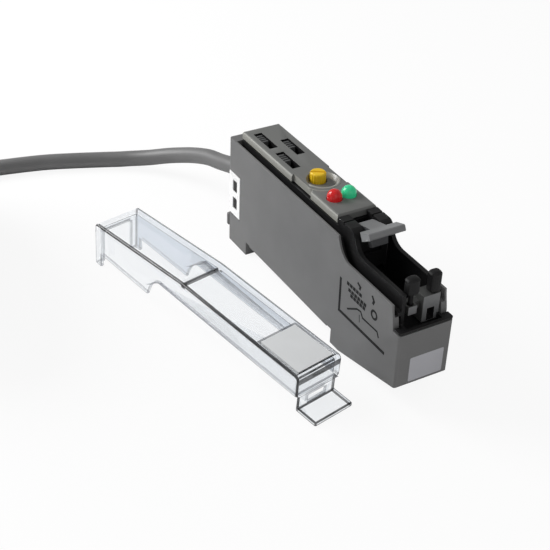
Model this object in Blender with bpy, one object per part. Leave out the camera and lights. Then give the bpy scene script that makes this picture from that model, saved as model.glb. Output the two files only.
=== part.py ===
"""Fibre amplifier of a colour mark sensor for a 35 mm rail, with its clear lid laid beside it.

Origin: middle of the rail seat. +X points to the fibre end, +Y to the right side, +Z up.
Lengths below are in millimetres and are turned into metres where meshes are made.
"""

import math

import bmesh
import bpy
from mathutils import Euler, Matrix, Vector

MM = 0.001

# Clearances
GAP = 0.3            # between two pieces that touch
FINE_GAP = 0.2       # round small pieces let into a hole
RUN_GAP = 0.25       # round a pin
BEYOND = 2.0         # how far a cutter runs past a face

# Case
BODY_LENGTH = 65.2
BODY_WIDTH = 12.0
EDGE_HIGH = 22.5     # top edge of the side walls over the rail
EDGE_LOW = 18.3      # top edge of the side walls at the fibre end
EDGE_FRONT = 13.15   # top of the front wall
REAR_OVERHANG = 8.0  # case behind the rail seat
RAIL_SEAT = 35.2     # between the two feet
FOOT = 3.0
HOOK_REACH = 1.0        # of the feet under the rail's edges
NICK_DEPTH = 0.3        # relief in the seat over the hooks
WALL = 1.3
FLOOR = 1.6
FRONT_WALL = 0.8
REAR_WALL = 2.5
LIP = 0.45           # outer lip beside the groove that takes the lid
GROOVE = 1.15
GROOVE_DEPTH = 1.4
LEDGE = 0.8          # thickness of the inner frame's ledge that floors the groove
CORNER = 0.5

# Link port, strain relief and rail latch
LINK_REACH = 4.75    # forward from the rear edge
LINK_BOTTOM = 4.2
LINK_TOP = 14.5
LINK_DEPTH = 0.85
LINK_THICK = 0.6
LINK_WINDOW = (1.8, 2.8)
LINK_WINDOWS_Z = (7.25, 11.5)
RELIEF_RADIUS = 2.9
RELIEF_END = 2.35
RELIEF_REACH = 6.0
LATCH_HALF = 3.0
LATCH_TOP = -1.25
LATCH_BOTTOM = -2.25
LATCH_TAB_TOP = 3.0
LATCH_TAB_THICK = 1.0

# Inner frame and control panel
PANEL_RISE = 2.25    # panel above the side walls
PANEL_LENGTH = 37.7
PANEL_THICK = 1.6
PANEL_BEVEL = 0.4
FRAME_WALL = 0.7
DECK = 2.55          # deck under the panel
LUG_LENGTH = 1.8
CHEEK_LENGTH = 3.3
TROUGH_HALF = 3.5
TROUGH_FLOOR = 12.2
FRAME_BOTTOM = 9.0
FIBRE_Z = 14.0
FIBRE_Y = 2.1
FIBRE_HOLE = 1.25

# Controls
SWITCH_PITCH = 4.6
SWITCH_FIRST = 5.8   # first switch from the panel's rear edge
SWITCH_SLOT = (7.0, 1.9)
SWITCH_BODY = (7.6, 2.8)
SLIDER = (3.0, 1.3)
SWITCH_ROWS = (-2.1, 1.7, -2.1)
SWITCH_TRAVEL = 2.8
KNOB_RADIUS = 1.6
KNOB_TOP = 1.05      # above the panel
DISH_RADIUS = 3.3
DISH_DEPTH = 0.9
LED_RADIUS = 1.5
LED_RISE = 2.0
LED_Y = 1.65

# Lock lever
LEVER_TILT = 28.0    # degrees above level, as it stands
LEVER_HALF = 1.75
BAR_HALF = 4.0
PIN_RADIUS = 0.45

# Fibre guide and its keys
GUIDE_LENGTH = 3.0
KEY_STEM = 0.45
KEY_HEIGHT = 4.45

# Cable
CABLE_RADIUS = 1.9
CABLE_Z = 9.9
HANK_BEND = 11.6       # centre line of the innermost turn
HANK_RUN = 28.0        # straight part of a turn
HANK_COLUMNS = 2
HANK_LAYERS = 8
HANK_PLACE = (-61.6, -70.5)
HANK_TURN = -15.0      # degrees
CABLE_ROUTE = [
    (-35.8, -0.3, 9.1), (-40.1, -0.7, 7.9), (-44.1, -1.2, 7.05), (-47.8, -2.0, 5.9), (-51.1, -3.0, 4.7),
    (-54.1, -4.2, 3.5), (-56.8, -5.6, 2.4), (-59.1, -7.2, 1.4), (-61.1, -8.9, 0.55), (-63.0, -10.8, -0.1),
    (-64.6, -12.7, -0.55), (-65.9, -14.8, -0.85), (-67.1, -16.95, -1.0), (-68.2, -19.15, -1.1),
    (-70.7, -25.4, -1.1), (-73.1, -32.3, -1.1), (-75.3, -42.4, -1.1), (-76.5, -50.5, -1.1),
    (-77.0, -59.0, -1.1),
]

# Lid, in its own frame: u from the deep end, v across, w down from its flat top
LID_LENGTH = 64.2
LID_WALL = 0.8
LID_TOP = 1.0
LID_FIT = 0.05       # between the lid's sides and the lips
LID_KINK = 29.4
LID_FALL = 2.6
LID_SHALLOW = 4.9
LID_DEEP = 9.8
LID_LEG = 12.95
LID_LEG_SIZE = 2.1
LID_STEP = (18.7, 22.0)
LID_TAB = 8.8
LID_TAB_REACH = 4.8
LID_TAB_HALF = 4.7
LID_PLACE = (-28.8, -36.3)
LID_TURN = 11.65     # degrees

# Worked out from the above
HALF = BODY_WIDTH / 2
SEAT = RAIL_SEAT / 2
REAR = -SEAT - REAR_OVERHANG
FRONT = REAR + BODY_LENGTH
INNER_HALF = HALF - LIP - GROOVE
CAVITY_HALF = INNER_HALF + GAP
PANEL_REAR = REAR + REAR_WALL + GAP
PANEL_FRONT = PANEL_REAR + PANEL_LENGTH
PANEL_TOP = EDGE_HIGH + PANEL_RISE
PANEL_BOTTOM = PANEL_TOP - PANEL_THICK
DECK_TOP = PANEL_BOTTOM - GAP
DECK_BOTTOM = DECK_TOP - DECK
FRAME_CAVITY = INNER_HALF - FRAME_WALL
STEP = PANEL_FRONT + 3.1
LOW_START = STEP + 3.8
DROP = FRONT - 3.0
SHELF = DROP + 0.85
LUG_REAR = PANEL_FRONT + GAP
CHEEK_REAR = LUG_REAR + LUG_LENGTH + GAP
CHEEK_FRONT = CHEEK_REAR + CHEEK_LENGTH
POCKET_HALF = LEVER_HALF + GAP
PIVOT = (CHEEK_REAR + 1.0, PANEL_TOP - 2.05)
HUB = 1.25
POCKET_FLOOR = PIVOT[1] - HUB - 0.35
KNOB_X = PANEL_REAR + 23.3
DISH_X = KNOB_X + 1.5
LED_X = PANEL_REAR + 32.1
LINK_FRONT = REAR + LINK_REACH
OPTICS_FRONT = CHEEK_FRONT - 3.4
OPTICS_REAR = OPTICS_FRONT - 9.0
GUIDE_FRONT = DROP + 0.35
GUIDE_REAR = GUIDE_FRONT - GUIDE_LENGTH
GUIDE_TOP = EDGE_LOW - 0.1
BRIDGE_TOP = GUIDE_TOP - 1.5
KEY_TOP = GUIDE_TOP + KEY_HEIGHT
LEFT_KEY = (GUIDE_FRONT - 1.05, -1.55)
RIGHT_KEY = (GUIDE_FRONT - 1.05, 3.4)
BOARD_TOP = DECK_BOTTOM - GAP
BOARD = 1.0
BOARD_HALF = FRAME_CAVITY - GAP


def clear_scene():
    for item in list(bpy.data.objects):
        bpy.data.objects.remove(item, do_unlink=True)


def plastic(name, colour, roughness=0.45, metallic=0.0, alpha=1.0):
    """A Principled material from a linear colour."""
    material = bpy.data.materials.new(name)
    material.use_nodes = True
    shader = material.node_tree.nodes["Principled BSDF"]
    shader.inputs["Base Color"].default_value = (*colour, 1.0)
    shader.inputs["Roughness"].default_value = roughness
    shader.inputs["Metallic"].default_value = metallic
    shader.inputs["Alpha"].default_value = alpha
    material.diffuse_color = (*colour, alpha)
    return material


def add_object(name, mesh, material=None):
    item = bpy.data.objects.new(name, mesh)
    bpy.context.scene.collection.objects.link(item)
    if material is not None:
        mesh.materials.append(material)
    return item


def finish_mesh(form, name, material=None):
    """Close a bmesh into an object with its faces outward."""
    bmesh.ops.recalc_face_normals(form, faces=form.faces)
    mesh = bpy.data.meshes.new(name)
    form.to_mesh(mesh)
    form.free()
    return add_object(name, mesh, material)


def curve_points(p0, p1, p2, p3, steps):
    """Points along a cubic Bezier curve, its first point left out."""
    points = []
    for i in range(1, steps + 1):
        t = i / steps
        s = 1 - t
        points.append(tuple(
            s**3 * a + 3 * s * s * t * b + 3 * s * t * t * c + t**3 * d
            for a, b, c, d in zip(p0, p1, p2, p3)
        ))
    return points


def arc_points(cx, cz, radius, start, end, steps):
    """Points along an arc, angles in degrees from +X towards +Z."""
    points = []
    for i in range(steps + 1):
        angle = math.radians(start + (end - start) * i / steps)
        points.append((cx + radius * math.cos(angle), cz + radius * math.sin(angle)))
    return points


def prism(name, outline, y0, y1, material=None, bevel=0.0, bevel_where=None):
    """An outline in X and Z, extruded from y0 to y1, with chosen outline edges rounded."""
    form = bmesh.new()
    ring = [form.verts.new((x * MM, y0 * MM, z * MM)) for x, z in outline]
    face = form.faces.new(ring)
    extruded = bmesh.ops.extrude_face_region(form, geom=[face])
    moved = [v for v in extruded["geom"] if isinstance(v, bmesh.types.BMVert)]
    bmesh.ops.translate(form, verts=moved, vec=(0, (y1 - y0) * MM, 0))
    if bevel > 0:
        edges = [
            e for e in form.edges
            if abs(e.verts[0].co.y - e.verts[1].co.y) < 1e-7
            and bevel_where(e.verts[0].co / MM, e.verts[1].co / MM)
        ]
        bmesh.ops.bevel(form, geom=edges, offset=bevel * MM, segments=3, profile=0.5, affect="EDGES")
    return finish_mesh(form, name, material)


def block(name, xs, ys, zs, material=None, bevel=0.0, segments=2):
    """A box between three pairs of limits, its edges rounded by a Bevel modifier if asked."""
    form = bmesh.new()
    bmesh.ops.create_cube(form, size=1.0)
    size = Vector((xs[1] - xs[0], ys[1] - ys[0], zs[1] - zs[0])) * MM
    middle = Vector((xs[0] + xs[1], ys[0] + ys[1], zs[0] + zs[1])) * MM / 2
    bmesh.ops.scale(form, vec=size, verts=form.verts)
    item = finish_mesh(form, name, material)
    item.location = middle
    if bevel > 0:
        soften = item.modifiers.new("rounded edges", "BEVEL")
        soften.width = bevel * MM
        soften.segments = segments
    return item


def rod(name, start, end, radius, material=None, sides=24, end_radius=None):
    """A cylinder or cone between two points."""
    a = Vector(start) * MM
    b = Vector(end) * MM
    form = bmesh.new()
    bmesh.ops.create_cone(
        form, cap_ends=True, segments=sides, radius1=radius * MM,
        radius2=(radius if end_radius is None else end_radius) * MM, depth=(b - a).length,
    )
    item = finish_mesh(form, name, material)
    item.rotation_mode = "QUATERNION"
    item.rotation_quaternion = (b - a).to_track_quat("Z", "Y")
    item.location = (a + b) / 2
    item.data.shade_smooth()
    item.data.set_sharp_from_angle(angle=math.radians(40))
    return item


def turned(name, profile, centre, material=None, sides=24):
    """A profile of (radius, z) points, bottom to top and starting and ending on the axis, spun round +Z."""
    form = bmesh.new()
    chain = [form.verts.new((r * MM, 0, z * MM)) for r, z in profile]
    edges = [form.edges.new(pair) for pair in zip(chain, chain[1:])]
    bmesh.ops.spin(
        form, geom=chain + edges, cent=(0, 0, 0), axis=(0, 0, 1), dvec=(0, 0, 0),
        angle=math.tau, steps=sides, use_duplicate=False,
    )
    bmesh.ops.remove_doubles(form, verts=form.verts, dist=1e-6)
    item = finish_mesh(form, name, material)
    item.location = Vector(centre) * MM
    item.data.shade_smooth()
    item.data.set_sharp_from_angle(angle=math.radians(40))
    return item


def as_tool(tool):
    """Mark an object as a cutter or a filler that is no part of the object."""
    tool.hide_render = True
    tool.display_type = "WIRE"
    return tool


def combine(target, tools, operation):
    for tool in tools:
        as_tool(tool)
        step = target.modifiers.new(operation.lower() + " " + tool.name, "BOOLEAN")
        step.operation = operation
        step.solver = "EXACT"
        step.object = tool
    return target


def cut(target, *tools):
    return combine(target, tools, "DIFFERENCE")


def fuse(target, *tools):
    return combine(target, tools, "UNION")


def step_curve(x0, z0, x1, z1, steps=8):
    """The hollow curve by which the sides come down to the fibre end."""
    return curve_points(
        (x0, z0), (x0 + 0.2 * (x1 - x0), z0 - 0.5 * (z0 - z1)),
        (x0 + 0.45 * (x1 - x0), z1 + 0.1 * (z0 - z1)), (x1, z1), steps,
    )


def groove_line(drop, shift=0.0):
    """The top edge of the sides, lowered by a drop: the line that the groove and its ledge follow."""
    back = min(0.9, -0.65 * drop)
    line = [(PANEL_REAR - GAP + shift, EDGE_HIGH + drop), (STEP - back, EDGE_HIGH + drop)]
    line += step_curve(STEP - back, EDGE_HIGH + drop, LOW_START - back / 2, EDGE_LOW + drop)
    line.append((SHELF + GAP - shift, EDGE_LOW + drop))
    return line


def make_case(material):
    """The outer tub: sides, front, rear and floor in one, with the feet that grip the rail."""
    wedge_start = SEAT + 2.9
    front_bottom = 1.3
    seat_end = SEAT - HOOK_REACH - 2 * GAP
    outline = [(REAR, -FOOT), (-SEAT, -FOOT), (-SEAT, NICK_DEPTH), (-seat_end, NICK_DEPTH), (-seat_end, 0)]
    outline += [(seat_end, 0), (seat_end, NICK_DEPTH), (SEAT, NICK_DEPTH), (SEAT, -FOOT)]
    outline += [(wedge_start, -FOOT), (FRONT, front_bottom), (FRONT, EDGE_FRONT), (SHELF, EDGE_FRONT)]
    outline += curve_points(
        (SHELF, EDGE_FRONT), (SHELF - 0.1, EDGE_FRONT + 2.0), (DROP + 0.2, EDGE_LOW - 2.0), (DROP, EDGE_LOW), 6,
    )
    outline.append((LOW_START, EDGE_LOW))
    outline += list(reversed(step_curve(STEP, EDGE_HIGH, LOW_START, EDGE_LOW)))[1:]
    outline += [(STEP, EDGE_HIGH), (REAR, EDGE_HIGH)]

    def upright_corner(a, b):
        return abs(a.x - b.x) < 0.01 and (abs(a.x - FRONT) < 0.01 or abs(a.x - REAR) < 0.01)

    case = prism("case", outline, -HALF, HALF, material, CORNER, upright_corner)

    front_inside = FRONT - FRONT_WALL
    rear_inside = REAR + REAR_WALL
    cavity = [
        (rear_inside, FLOOR), (SEAT + 8, FLOOR), (front_inside, front_bottom + FLOOR),
        (front_inside, EDGE_HIGH + BEYOND), (rear_inside, EDGE_HIGH + BEYOND),
    ]
    deep = GROOVE_DEPTH + LEDGE + GAP
    groove = groove_line(-deep)
    groove += [(groove[-1][0], EDGE_HIGH + BEYOND), (groove[0][0], EDGE_HIGH + BEYOND)]
    cut(
        case,
        prism("case_cavity", cavity, -CAVITY_HALF, CAVITY_HALF),
        prism("case_groove", groove, -HALF + LIP, HALF - LIP),
        block(
            "link_recess", (REAR - BEYOND, LINK_FRONT + FINE_GAP), (-HALF - BEYOND, -HALF + LINK_DEPTH),
            (LINK_BOTTOM - FINE_GAP, LINK_TOP + FINE_GAP),
        ),
        rod(
            "gland_hole", (REAR - BEYOND, 0, CABLE_Z), (rear_inside + BEYOND, 0, CABLE_Z),
            RELIEF_RADIUS + FINE_GAP, sides=32,
        ),
        block(
            "latch_channel", (REAR - BEYOND, -SEAT + BEYOND), (-LATCH_HALF - GAP, LATCH_HALF + GAP),
            (LATCH_BOTTOM - FINE_GAP, LATCH_TOP + FINE_GAP),
        ),
    )
    hook = prism(
        "rail_hook",
        [
            (SEAT - HOOK_REACH, LATCH_BOTTOM), (SEAT + 1.0, LATCH_BOTTOM), (SEAT + 1.0, LATCH_TOP),
            (SEAT - HOOK_REACH + 0.3, LATCH_TOP),
        ],
        -LATCH_HALF, LATCH_HALF,
    )
    return fuse(case, hook)


def make_inner_frame(material):
    """The black inner moulding: deck under the panel, lugs, cheeks, trough and front rim."""
    low = EDGE_LOW + 1.9
    front_inside = FRONT - FRONT_WALL - GAP
    rim = EDGE_FRONT + GAP
    rim_top = rim + 0.4
    lug_top = PANEL_TOP - 0.3
    outline = [(PANEL_REAR, FRAME_BOTTOM), (front_inside, FRAME_BOTTOM), (front_inside, rim_top)]
    outline += [(SHELF + GAP, rim_top), (SHELF - 0.1, rim_top + 0.2), (SHELF - 0.1, low), (LOW_START + 3.0, low)]
    shoulder = curve_points(
        (CHEEK_FRONT - 1.0, lug_top), (CHEEK_FRONT + 1.0, lug_top - 0.3),
        (CHEEK_FRONT + 0.3, low + 0.3), (LOW_START + 3.0, low), 12,
    )
    outline += list(reversed(shoulder))[1:]
    outline += [
        (CHEEK_FRONT - 1.0, lug_top), (CHEEK_REAR, lug_top), (CHEEK_REAR, lug_top - 0.6),
        (CHEEK_REAR - GAP, lug_top - 0.6), (CHEEK_REAR - GAP, lug_top), (LUG_REAR, lug_top),
        (LUG_REAR, DECK_TOP), (PANEL_REAR, DECK_TOP),
    ]
    frame = prism("inner_frame", outline, -INNER_HALF, INNER_HALF, material)
    rim_plate = prism(
        "front_rim", [(SHELF + GAP, rim), (FRONT, rim), (FRONT, rim_top), (SHELF + GAP, rim_top)], -HALF, HALF,
    )
    ledge_line = groove_line(-GROOVE_DEPTH, GAP)
    ledge_under = [(x, z - LEDGE) for x, z in reversed(ledge_line)]
    ledges = [
        prism("ledge_left", ledge_line + ledge_under, -HALF + LIP + GAP, -INNER_HALF + 0.1),
        prism("ledge_right", ledge_line + ledge_under, INNER_HALF - 0.1, HALF - LIP - GAP),
    ]
    fuse(frame, rim_plate, *ledges)

    step_wall = CHEEK_FRONT + 0.3
    nose_room = step_wall - 1.0
    cut(
        frame,
        block(
            "frame_cavity", (PANEL_REAR + FRAME_WALL, OPTICS_FRONT + GAP), (-FRAME_CAVITY, FRAME_CAVITY),
            (FRAME_BOTTOM - BEYOND, DECK_BOTTOM),
        ),
        block(
            "lever_pocket", (LUG_REAR, LOW_START + 6), (-POCKET_HALF, POCKET_HALF),
            (POCKET_FLOOR, PANEL_TOP + BEYOND),
        ),
        block(
            "nose_room", (nose_room, step_wall + BEYOND), (-POCKET_HALF, POCKET_HALF),
            (EDGE_LOW + 0.3, PANEL_TOP + BEYOND),
        ),
        block(
            "trough", (step_wall, GUIDE_REAR - GAP), (-TROUGH_HALF, TROUGH_HALF),
            (TROUGH_FLOOR, PANEL_TOP + BEYOND),
        ),
        block(
            "guide_seat", (GUIDE_REAR - GAP - 0.01, SHELF - 0.35), (-TROUGH_HALF, HALF),
            (TROUGH_FLOOR, PANEL_TOP + BEYOND),
        ),
        block(
            "front_well", (SHELF - 0.36, FRONT - FRONT_WALL), (-TROUGH_HALF - 0.4, TROUGH_HALF + 0.4),
            (TROUGH_FLOOR, PANEL_TOP + BEYOND),
        ),
        block(
            "right_end", (SHELF - 0.36, SHELF + 0.5), (TROUGH_HALF - 1.0, HALF), (rim_top, PANEL_TOP + BEYOND),
        ),
        *[
            rod(
                f"frame_fibre_hole_{side}", (OPTICS_FRONT - BEYOND, y, FIBRE_Z),
                (step_wall + BEYOND, y, FIBRE_Z),
                FIBRE_HOLE,
            )
            for side, y in (("left", -FIBRE_Y), ("right", FIBRE_Y))
        ],
        rod(
            "pin_hole", (PIVOT[0], -INNER_HALF + 0.3, PIVOT[1]), (PIVOT[0], INNER_HALF - 0.3, PIVOT[1]),
            PIN_RADIUS + RUN_GAP,
        ),
        *[
            block(
                f"switch_pocket_{i + 1}",
                (x - SWITCH_BODY[0] / 2 - GAP, x + SWITCH_BODY[0] / 2 + GAP),
                (y - SWITCH_BODY[1] / 2 - GAP, y + SWITCH_BODY[1] / 2 + GAP),
                (DECK_BOTTOM - BEYOND, PANEL_TOP),
            )
            for i, (x, y) in enumerate(switch_places())
        ],
        block(
            "trimmer_pocket", (KNOB_X - 3.0 - GAP, KNOB_X + 3.0 + GAP), (-3.0 - GAP, 3.0 + GAP),
            (DECK_BOTTOM - BEYOND, PANEL_TOP),
        ),
        block(
            "led_pocket", (LED_X - LED_RADIUS - GAP, LED_X + LED_RADIUS + GAP),
            (-LED_Y - LED_RADIUS - GAP, LED_Y + LED_RADIUS + GAP), (DECK_BOTTOM - BEYOND, PANEL_TOP),
        ),
    )
    return frame


def switch_places():
    """Middle of each switch, rear to front, in X and Y."""
    first = PANEL_REAR + SWITCH_FIRST
    return [(first + i * SWITCH_PITCH, y) for i, y in enumerate(SWITCH_ROWS)]


def make_panel(material):
    """The control panel: a plate with rounded upper edges and an opening for each control."""
    form = bmesh.new()
    bmesh.ops.create_cube(form, size=1.0)
    bmesh.ops.scale(form, vec=Vector((PANEL_LENGTH, 2 * INNER_HALF, PANEL_THICK)) * MM, verts=form.verts)
    top = [e for e in form.edges if e.verts[0].co.z > 0 and e.verts[1].co.z > 0]
    bmesh.ops.bevel(form, geom=top, offset=PANEL_BEVEL * MM, segments=2, profile=0.5, affect="EDGES")
    panel = finish_mesh(form, "control_panel", material)
    middle_x = (PANEL_REAR + PANEL_FRONT) / 2
    panel.location = Vector((middle_x, 0, PANEL_TOP - PANEL_THICK / 2)) * MM
    low = PANEL_BOTTOM - BEYOND
    high = PANEL_TOP + BEYOND
    notch = (PANEL_REAR + 20.5, PANEL_REAR + 27.9)
    dish = turned(
        "knob_dish",
        [(0, -DISH_DEPTH), (DISH_RADIUS - 0.7, -DISH_DEPTH), (DISH_RADIUS, 0), (DISH_RADIUS, 1), (0, 1)],
        (DISH_X, 0.15, PANEL_TOP), sides=40,
    )
    tools = [
        block(
            f"switch_slot_{i + 1}", (x - SWITCH_SLOT[0] / 2, x + SWITCH_SLOT[0] / 2),
            (y - SWITCH_SLOT[1] / 2, y + SWITCH_SLOT[1] / 2), (low, high),
        )
        for i, (x, y) in enumerate(switch_places())
    ]
    tools += [
        block("panel_notch_left", notch, (-HALF, -INNER_HALF + 0.55), (low, high)),
        block("panel_notch_right", notch, (INNER_HALF - 0.55, HALF), (low, high)),
        dish,
        rod("knob_hole", (KNOB_X, 0, low), (KNOB_X, 0, high), KNOB_RADIUS + GAP, sides=32),
    ]
    tools += [
        rod(f"led_hole_{side}", (LED_X, y, low), (LED_X, y, high), LED_RADIUS + 0.12, sides=32)
        for side, y in (("left", -LED_Y), ("right", LED_Y))
    ]
    return cut(panel, *tools)


def make_switches(body_material, slider_material):
    """Three slide switches: a body on the board and a ribbed slider in the panel's slot."""
    top = DECK_TOP
    for i, (x, y) in enumerate(switch_places()):
        block(
            f"switch_body_{i + 1}", (x - SWITCH_BODY[0] / 2, x + SWITCH_BODY[0] / 2),
            (y - SWITCH_BODY[1] / 2, y + SWITCH_BODY[1] / 2), (BOARD_TOP + GAP, top), body_material, 0.15,
        )
        rest = x - SWITCH_TRAVEL / 2
        slider = block(
            f"switch_slider_{i + 1}", (rest - SLIDER[0] / 2, rest + SLIDER[0] / 2),
            (y - SLIDER[1] / 2, y + SLIDER[1] / 2), (top + GAP, PANEL_TOP - 0.15), slider_material,
        )
        ribs = [
            block(
                f"slider_groove_{i + 1}_{k + 1}", (rest - 0.95 + k * 0.8, rest - 0.65 + k * 0.8),
                (y - SLIDER[1], y + SLIDER[1]), (PANEL_TOP - 0.5, PANEL_TOP + 0.5),
            )
            for k in range(3)
        ]
        cut(slider, *ribs)


def make_trimmer(body_material, knob_material):
    """The sensitivity trimmer: a square body on the board and a slotted knob in its dish."""
    body_top = DECK_TOP - 0.6
    block(
        "trimmer_body", (KNOB_X - 3.0, KNOB_X + 3.0), (-3.0, 3.0), (BOARD_TOP + GAP, body_top),
        body_material, 0.2,
    )
    base = body_top + GAP
    top = PANEL_TOP + KNOB_TOP
    knob = turned(
        "trimmer_knob",
        [
            (0, base - top), (KNOB_RADIUS, base - top), (KNOB_RADIUS, -0.45), (KNOB_RADIUS - 0.25, -0.15),
            (0.5, 0), (0, 0),
        ],
        (KNOB_X, 0, top), knob_material, 32,
    )
    slot = block(
        "knob_slot", (KNOB_X - 0.2, KNOB_X + 0.2), (-KNOB_RADIUS - 1, KNOB_RADIUS + 1), (top - 0.7, top + 1),
    )
    cut(knob, slot)


def make_led(name, y, material):
    """A lamp with a low dome above the panel and a straight body down to the board."""
    base = BOARD_TOP + GAP - PANEL_TOP
    dome = [
        (LED_RADIUS * math.cos(math.radians(a)), LED_RISE - LED_RADIUS * (1 - math.sin(math.radians(a))))
        for a in (0, 18, 36, 54, 72)
    ]
    turned(name, [(0, base), (LED_RADIUS, base)] + dome + [(0, LED_RISE)], (LED_X, y, PANEL_TOP), material, 28)


def make_board(material):
    """The horizontal control board and the upright main board below it."""
    board_front = OPTICS_FRONT - 1.0
    block(
        "control_board", (PANEL_REAR + FRAME_WALL + GAP, board_front), (-BOARD_HALF, BOARD_HALF),
        (BOARD_TOP - BOARD, BOARD_TOP), material,
    )
    block(
        "main_board", (PANEL_REAR + FRAME_WALL + GAP, OPTICS_REAR - 4.0), (-0.5, 0.5),
        (FLOOR + GAP, BOARD_TOP - BOARD - GAP), material,
    )


def make_optics(block_material, diode_material):
    """The optical block with a bore for each fibre, and the emitter and receiver behind it."""
    top = BOARD_TOP - BOARD - GAP
    optics = block(
        "optical_block", (OPTICS_REAR, OPTICS_FRONT), (-BOARD_HALF, BOARD_HALF), (FRAME_BOTTOM + 0.5, top),
        block_material,
    )
    for side, y in (("left", -FIBRE_Y), ("right", FIBRE_Y)):
        cut(optics, rod(
            f"optics_bore_{side}", (OPTICS_REAR - BEYOND, y, FIBRE_Z), (OPTICS_FRONT + BEYOND, y, FIBRE_Z), 1.15,
        ))
    for name, y in (("emitter_diode", -FIBRE_Y), ("receiver_diode", FIBRE_Y)):
        rod(name, (OPTICS_REAR - 2.6, y, FIBRE_Z), (OPTICS_REAR - GAP, y, FIBRE_Z), 1.5, diode_material)


def make_lever(material, pin_material):
    """The lock lever: hub and arm, a crossbar to lift and a nose that comes down on the fibres."""
    hub = arc_points(0, 0, HUB, 215, 85, 10)
    side = hub + [(4.4, 0.2), (4.4, -1.6), (3.9, -3.3), (2.8, -3.4), (2.2, -1.5)]
    lever = prism("lock_lever", side, -LEVER_HALF, LEVER_HALF, material)
    bar = prism(
        "lever_bar",
        [(4.3, -1.6), (7.1, -1.4), (7.3, -1.2), (7.3, -0.3), (7.1, -0.1), (4.5, 0.25), (4.3, 0.2)],
        -BAR_HALF, BAR_HALF,
    )
    bore = rod("lever_bore", (0, -LEVER_HALF - 1, 0), (0, LEVER_HALF + 1, 0), PIN_RADIUS + RUN_GAP)
    fuse(lever, bar)
    cut(lever, bore)
    turn = math.radians(-LEVER_TILT)
    for item in (lever, bar, bore):
        place = Matrix.Translation(Vector((PIVOT[0], 0, PIVOT[1])) * MM) @ Matrix.Rotation(turn, 4, "Y")
        item.matrix_world = place @ item.matrix_basis
    rod(
        "lever_pin", (PIVOT[0], -INNER_HALF + 0.5, PIVOT[1]), (PIVOT[0], INNER_HALF - 0.5, PIVOT[1]),
        PIN_RADIUS, pin_material, 16,
    )


def make_fibre_guide(material):
    """The guide at the fibre end: a window for the right fibre and a low bridge over the left one."""
    bottom = TROUGH_FLOOR + GAP
    left = -TROUGH_HALF + GAP
    split = 0.65
    under = BRIDGE_TOP - 1.6
    guide = block("fibre_guide", (GUIDE_REAR, GUIDE_FRONT), (split, INNER_HALF), (bottom, GUIDE_TOP), material)
    bar = block("bridge_bar", (GUIDE_REAR + 0.1, GUIDE_FRONT - 1.2), (left, split + 0.5), (under, BRIDGE_TOP))
    pad_x = (GUIDE_REAR + 0.6, GUIDE_FRONT - 0.1)
    pad = block("bridge_pad", pad_x, (-2.5, -0.6), (under - 0.1, BRIDGE_TOP + 0.1))
    fuse(guide, bar, pad)
    return cut(
        guide,
        block("window", (GUIDE_REAR - 1, GUIDE_FRONT + 1), (1.7, 3.3), (FIBRE_Z - 1.4, FIBRE_Z + 1.3)),
        rod("key_hole_left", (*LEFT_KEY, BRIDGE_TOP - 3), (*LEFT_KEY, BRIDGE_TOP + 1), KEY_STEM + RUN_GAP),
        rod("key_hole_right", (*RIGHT_KEY, GUIDE_TOP - 1.8), (*RIGHT_KEY, GUIDE_TOP + 1), KEY_STEM + RUN_GAP),
    )


def make_key(name, place, length, width, bottom, stem_bottom, material):
    """A quarter-turn fibre key: a flattened head with a domed top on a round stem."""
    half_x = length / 2
    half_y = width / 2
    levels = [(bottom, 1.0), (KEY_TOP - 0.5, 1.0), (KEY_TOP - 0.2, 0.85), (KEY_TOP, 0.5)]
    form = bmesh.new()
    rings = []
    for height, share in levels:
        ring = []
        for i in range(24):
            angle = math.tau * i / 24
            c, s = math.cos(angle), math.sin(angle)
            x = half_x * math.copysign(abs(c) ** 0.6, c) * share
            y = half_y * math.copysign(abs(s) ** 0.6, s) * share
            ring.append(form.verts.new((x * MM, y * MM, height * MM)))
        rings.append(ring)
    for lower, upper in zip(rings, rings[1:]):
        for i in range(24):
            form.faces.new((lower[i], lower[(i + 1) % 24], upper[(i + 1) % 24], upper[i]))
    form.faces.new(list(reversed(rings[0])))
    form.faces.new(rings[-1])
    key = finish_mesh(form, name, material)
    key.location = Vector((*place, 0)) * MM
    key.data.shade_smooth()
    key.data.set_sharp_from_angle(angle=math.radians(50))
    stem = rod(name + "_stem", (*place, stem_bottom), (*place, bottom + 1.0), KEY_STEM, sides=16)
    return fuse(key, stem)


def make_link_port(frame_material, window_material):
    """The white frame on the left side with its two dark windows, through which units in a row talk."""
    y0 = -HALF + 0.02
    y1 = y0 + LINK_THICK
    frame = block("link_frame", (REAR + 0.05, LINK_FRONT), (y0, y1), (LINK_BOTTOM, LINK_TOP), frame_material)
    middle_x = (REAR + LINK_FRONT) / 2 + 0.2
    for name, z in zip(("link_window_lower", "link_window_upper"), LINK_WINDOWS_Z):
        half_x = LINK_WINDOW[0] / 2
        half_z = LINK_WINDOW[1] / 2
        cut(frame, block(
            name + "_hole", (middle_x - half_x, middle_x + half_x), (y0 - 1, y1 + 1), (z - half_z, z + half_z),
        ))
        block(
            name, (middle_x - half_x + FINE_GAP, middle_x + half_x - FINE_GAP), (y0 + 0.1, y1),
            (z - half_z + FINE_GAP, z + half_z - FINE_GAP), window_material,
        )


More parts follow.
